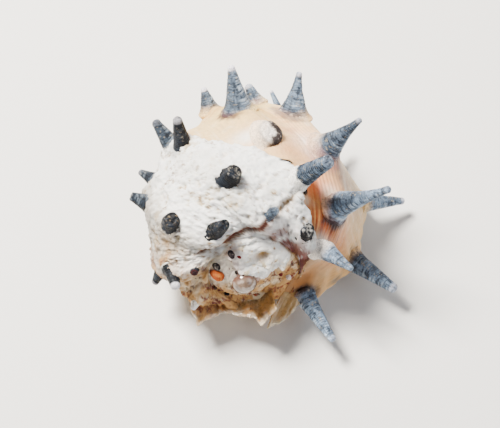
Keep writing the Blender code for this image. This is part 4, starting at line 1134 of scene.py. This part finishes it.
# root, direction, outer side and eye centre of the tentacle on one side (-1 left, 1 right)
def tentacleSite(part, side):
    turn = math.radians(part["spread"])
    way = np.array([side * math.sin(turn), math.cos(turn), 0.04])
    x, z = part["head"]
    root = np.array([x + side * (0.72 * part["headHalf"][0] + 0.36), part["headTo"] - 0.23, z + 0.1])
    outer = unit(np.array([side * math.cos(turn), -math.sin(turn), 0.35]))
    eye = root + way * 0.34 * part["tentacle"] + outer * (0.86 * part["tentacleRadius"] + 0.08 + part["eye"])
    return root, way, outer, eye


# the head: an oval tube with a round front
def headShape(part):
    share = np.linspace(0.0, 1.0, 24)
    grow = np.sqrt(np.clip(1.0 - np.clip((share - 0.72) / 0.28, 0.0, 1.0) ** 2, 0.02, 1.0))
    x, z = part["head"]
    path = pointsFrom(x, part["headFrom"] + (part["headTo"] - part["headFrom"]) * share, z)
    return tubeShape(path, part["headHalf"][0] * grow, part["headHalf"][1] * grow)


# a tapered tentacle that starts inside the head, and the round lobe that carries the eye
def tentacleShapes(part, side):
    root, way, outer, eye = tentacleSite(part, side)
    reach = np.linspace(-1.0, part["tentacle"] - 0.02, 30)
    radius = np.interp(reach, [-1.0, 0.0, 2.3, 2.5, part["tentacle"]],
                       [0.4, part["tentacleRadius"], part["tentacleTip"], 0.2, 0.05])
    path = root + scaled(way, reach) - scaled(toRight, np.clip(-reach, 0.0, None) * side * 0.25)
    lobe = np.linspace(-0.95, 0.95, 12) * part["lobe"]
    lobeRadius = np.sqrt(part["lobe"] ** 2 - lobe ** 2)
    lobePath = eye - 0.16 * outer + scaled(way, lobe)
    return [tubeShape(path, radius, radius), tubeShape(lobePath, lobeRadius, lobeRadius)]


# the siphon: a bent tube with a rounded rim
def siphonShape(part):
    share = np.linspace(0.0, 1.0, 24)
    x, z = part["siphon"]
    ahead = part["siphonFrom"] + (part["siphonTo"] - part["siphonFrom"]) * share
    radius = part["siphonRadius"] * np.interp(share, [0.0, 0.9, 0.97, 1.0], [1.05, 0.98, 0.9, 0.6])
    return tubeShape(pointsFrom(x - 0.25 * share ** 2, ahead, z + 0.05 * share), radius, radius)


# closed shapes joined by a fine voxel grid and smoothed: the points and squares of one skin
def joinedSkin(shapes, part):
    rough = addObject("fleshRough", plainMesh("fleshRough", *joinShapes(shapes)[:3]))
    remesh = rough.modifiers.new("join", "REMESH")
    remesh.mode = "VOXEL"
    remesh.voxel_size = part["voxel"] * mm
    smooth = rough.modifiers.new("smooth", "SMOOTH")
    smooth.iterations = part["smooth"]
    skin = rough.evaluated_get(bpy.context.evaluated_depsgraph_get()).to_mesh()
    points = np.empty(3 * len(skin.vertices))
    skin.vertices.foreach_get("co", points)
    quads = np.empty(4 * len(skin.polygons), np.int32)
    skin.polygons.foreach_get("vertices", quads)
    bpy.data.objects.remove(rough)
    return points.reshape(-1, 3) / mm, quads.reshape(-1, 4)


# foot, head, siphon and tentacles as one skin, flat on the floor and a little uneven above it
def buildFlesh(part):
    shapes = [*footShapes(part), headShape(part), *tentacleShapes(part, -1), *tentacleShapes(part, 1)]
    points, quads = joinedSkin([*shapes, siphonShape(part)], part)
    points[:, 2] = np.clip(points[:, 2], 0.0, None)
    points = points + scaled(upright, 0.035 * roughNoise(points, 0.8, 601) * ease(points[:, 2], 0.2, 0.6))
    ahead, height = points[:, 1], points[:, 2]
    speck = roughNoise(points, 0.35, 602)
    wide = roughNoise(points, 1.8, 603)
    tint = paint(plainTint("c8a95e", points), [
        ("e6d59a", 0.8 * ease(wide, 0.0, 0.5)),
        ("8d7a3c", 0.7 * ease(-wide, 0.05, 0.5)),
        ("4a3118", 0.8 * ease(speck, 0.28, 0.45) * ease(height, 0.1, 0.5)),
        ("f1e6c2", 0.8 * ease(-height, -0.35, -0.05)),
        ("ead9a0", 0.7 * ease(ahead, 8.7, 10.6)),
        ("2a1c12", 0.85 * bell(ahead - 9.7, 0.22)),
    ])
    nodes = ["foot", "head", "siphon", "tentacle_left", "tentacle_right"]
    makePiece("skin", (points, quads, np.empty((0, 3), int), tint), looks["wetFlesh"], nodes)


# a ball for each eye: black, with a pale ring round the pupil
def buildEye(name, node, part, side):
    outer, eye = tentacleSite(part, side)[2:]
    lift, turn = ballAngles(28, 44)
    aside = unit(np.cross(outer, upright))
    ring = spokes(turn, aside, np.cross(aside, outer))
    reach = part["eye"] * outer
    ball = eye + scaled(ring, part["eye"] * np.cos(lift)) + scaled(reach, np.sin(lift))
    points, quads, tris = closeRings(ball, eye - reach, eye + reach)[:3]
    height = (points - eye) @ outer / part["eye"]
    tint = paint(plainTint("050505", points), [("7a6238", 0.8 * bell(height - 0.62, 0.10))])
    makePiece(name, (points, quads, tris, tint), looks["wetEye"], [node])


operculum = {"centre": (0.4, -6.6), "half": (2.2, 1.6), "low": 0.98, "high": 1.62, "rings": 70, "sides": 120,
             "offset": 0.35, "ringRate": 60.0, "rim": 0.2}


# the operculum: an oval plate whose growth rings are ovals round a point near one end
def buildOperculum(part):
    turn = roundAngles(part["sides"])
    share = np.linspace(1.0, 0.02, part["rings"])[:, None]
    x = part["centre"][0] + part["half"][0] * (share * np.cos(turn) + part["offset"] * (1.0 - share))
    y = part["centre"][1] + part["half"][1] * share * np.sin(turn)
    ridge = 0.02 * np.sin(share * part["ringRate"] + 0.6 * np.sin(2.0 * turn))
    z = part["low"] + (part["high"] - part["low"]) * np.sqrt(np.clip(1.0 - share ** 6, 0.0, 1.0)) + ridge
    z = np.where(share > 0.99, part["low"] + part["rim"], z)
    rings = np.concatenate([pointsFrom(x[0], y[0], part["low"])[None], pointsFrom(x, y, z)])
    points, quads, tris = closeRings(rings, (*part["centre"], part["low"]), rings[-1].mean(axis=0))[:3]
    band = np.repeat(np.sin(np.concatenate([[0.0], share[:, 0]]) * part["ringRate"]), part["sides"])
    tint = paint(plainTint("5a2c12", points), [
        ("2c130a", 0.6 * ease(np.concatenate([band, [0.0, 0.0]]), 0.0, 0.8)),
        ("8a5426", 0.5 * ease(roughNoise(points, 0.7, 701), 0.1, 0.6))])
    makePiece("operculumPlate", (points, quads, tris, tint), looks["brownHorn"], ["operculum"])


buildFlesh(flesh)
buildEye("eyeLeft", "eye_left", flesh, -1)
buildEye("eyeRight", "eye_right", flesh, 1)
buildOperculum(operculum)
print("soft body built")

floorSettings = {"half": 300.0, "colour": "e6e4e0", "rough": 0.7}


# a wide square for the snail to rest on
def buildFloor(part):
    half = part["half"] * mm
    mesh = bpy.data.meshes.new("floor")
    corners = [(-half, -half, 0.0), (half, -half, 0.0), (half, half, 0.0), (-half, half, 0.0)]
    mesh.from_pydata(corners, [], [(0, 1, 2, 3)])
    look = bpy.data.materials.new("paleFloor")
    look.use_nodes = True
    shader = look.node_tree.nodes["Principled BSDF"]
    shader.inputs["Base Color"].default_value = (*linear(part["colour"]), 1.0)
    shader.inputs["Roughness"].default_value = part["rough"]
    mesh.materials.append(look)
    made = addObject("floor", mesh)


buildFloor(floorSettings)


# an object put at a place in mm, with its X, Y and Z axes along three directions
def placeAxes(made, right, top, back, place):
    rows = [(right[i], top[i], back[i], place[i] * mm) for i in range(3)]
    made.matrix_world = Matrix([*rows, (0, 0, 0, 1)])


# the apex and the middle are places in the picture, in pixels
camera = {"azimuth": -0.76, "elevation": 66.28, "roll": -8.05, "distance": 250.0, "lens": 203.6,
          "perMm": 11.31, "apexAt": (248.5, 285.8), "middle": (250.0, 214.0)}


# the camera looks down at the snail's back, rolled a little; its aim puts the apex where the picture has it
def placeCamera(part):
    a, e, r = (math.radians(part[key]) for key in ("azimuth", "elevation", "roll"))
    right = np.array([math.cos(a), math.sin(a), 0.0])
    ahead = np.array([-math.sin(a) * math.cos(e), math.cos(a) * math.cos(e), -math.sin(e)])
    up = np.cross(right, ahead)
    side = math.cos(r) * right + math.sin(r) * up
    top = -math.sin(r) * right + math.cos(r) * up
    aim = apex + side * (part["middle"][0] - part["apexAt"][0]) / part["perMm"]
    aim = aim + top * (part["apexAt"][1] - part["middle"][1]) / part["perMm"]
    data = bpy.data.cameras.new("camera")
    data.lens = part["lens"]
    data.clip_start = 0.01
    data.clip_end = 10.0
    made = addObject("camera", data)
    placeAxes(made, side, top, -ahead, aim - ahead * part["distance"])
    bpy.context.scene.camera = made


placeCamera(camera)

lights = [
    {"name": "key", "at": (-60, 70, 185), "size": 60, "power": 2.0, "colour": "fffaf2"},
    {"name": "fill", "at": (140, -90, 120), "size": 140, "power": 0.2, "colour": "f2f6ff"},
    {"name": "back", "at": (20, 170, 110), "size": 120, "power": 0.10, "colour": "fff4e6"},
]
lightAim = (0.0, 0.0, 8.0)


# a soft square light that faces the snail
def placeLight(part):
    data = bpy.data.lights.new(part["name"], "AREA")
    data.size = part["size"] * mm
    data.energy = part["power"]
    data.color = linear(part["colour"])
    at = np.array(part["at"], float)
    back = unit(at - lightAim)
    side = unit(np.cross(upright, back))
    placeAxes(addObject(part["name"], data), side, np.cross(back, side), back, at)


for light in lights:
    placeLight(light)

sky = {"colour": (0.9, 0.93, 1.0, 1.0), "strength": 0.17}
world = bpy.data.worlds.new("studio")
world.use_nodes = True
background = world.node_tree.nodes["Background"]
background.inputs["Color"].default_value = sky["colour"]
background.inputs["Strength"].default_value = sky["strength"]
bpy.context.scene.world = world
print("stage set")

# the callus keeps its own mesh, with a cream glaze
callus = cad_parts["columella"].data
callus.materials.clear()
dress(callus, np.tile(linear("e8d9be"), (len(callus.vertices), 1)), looks["glazedCallus"])
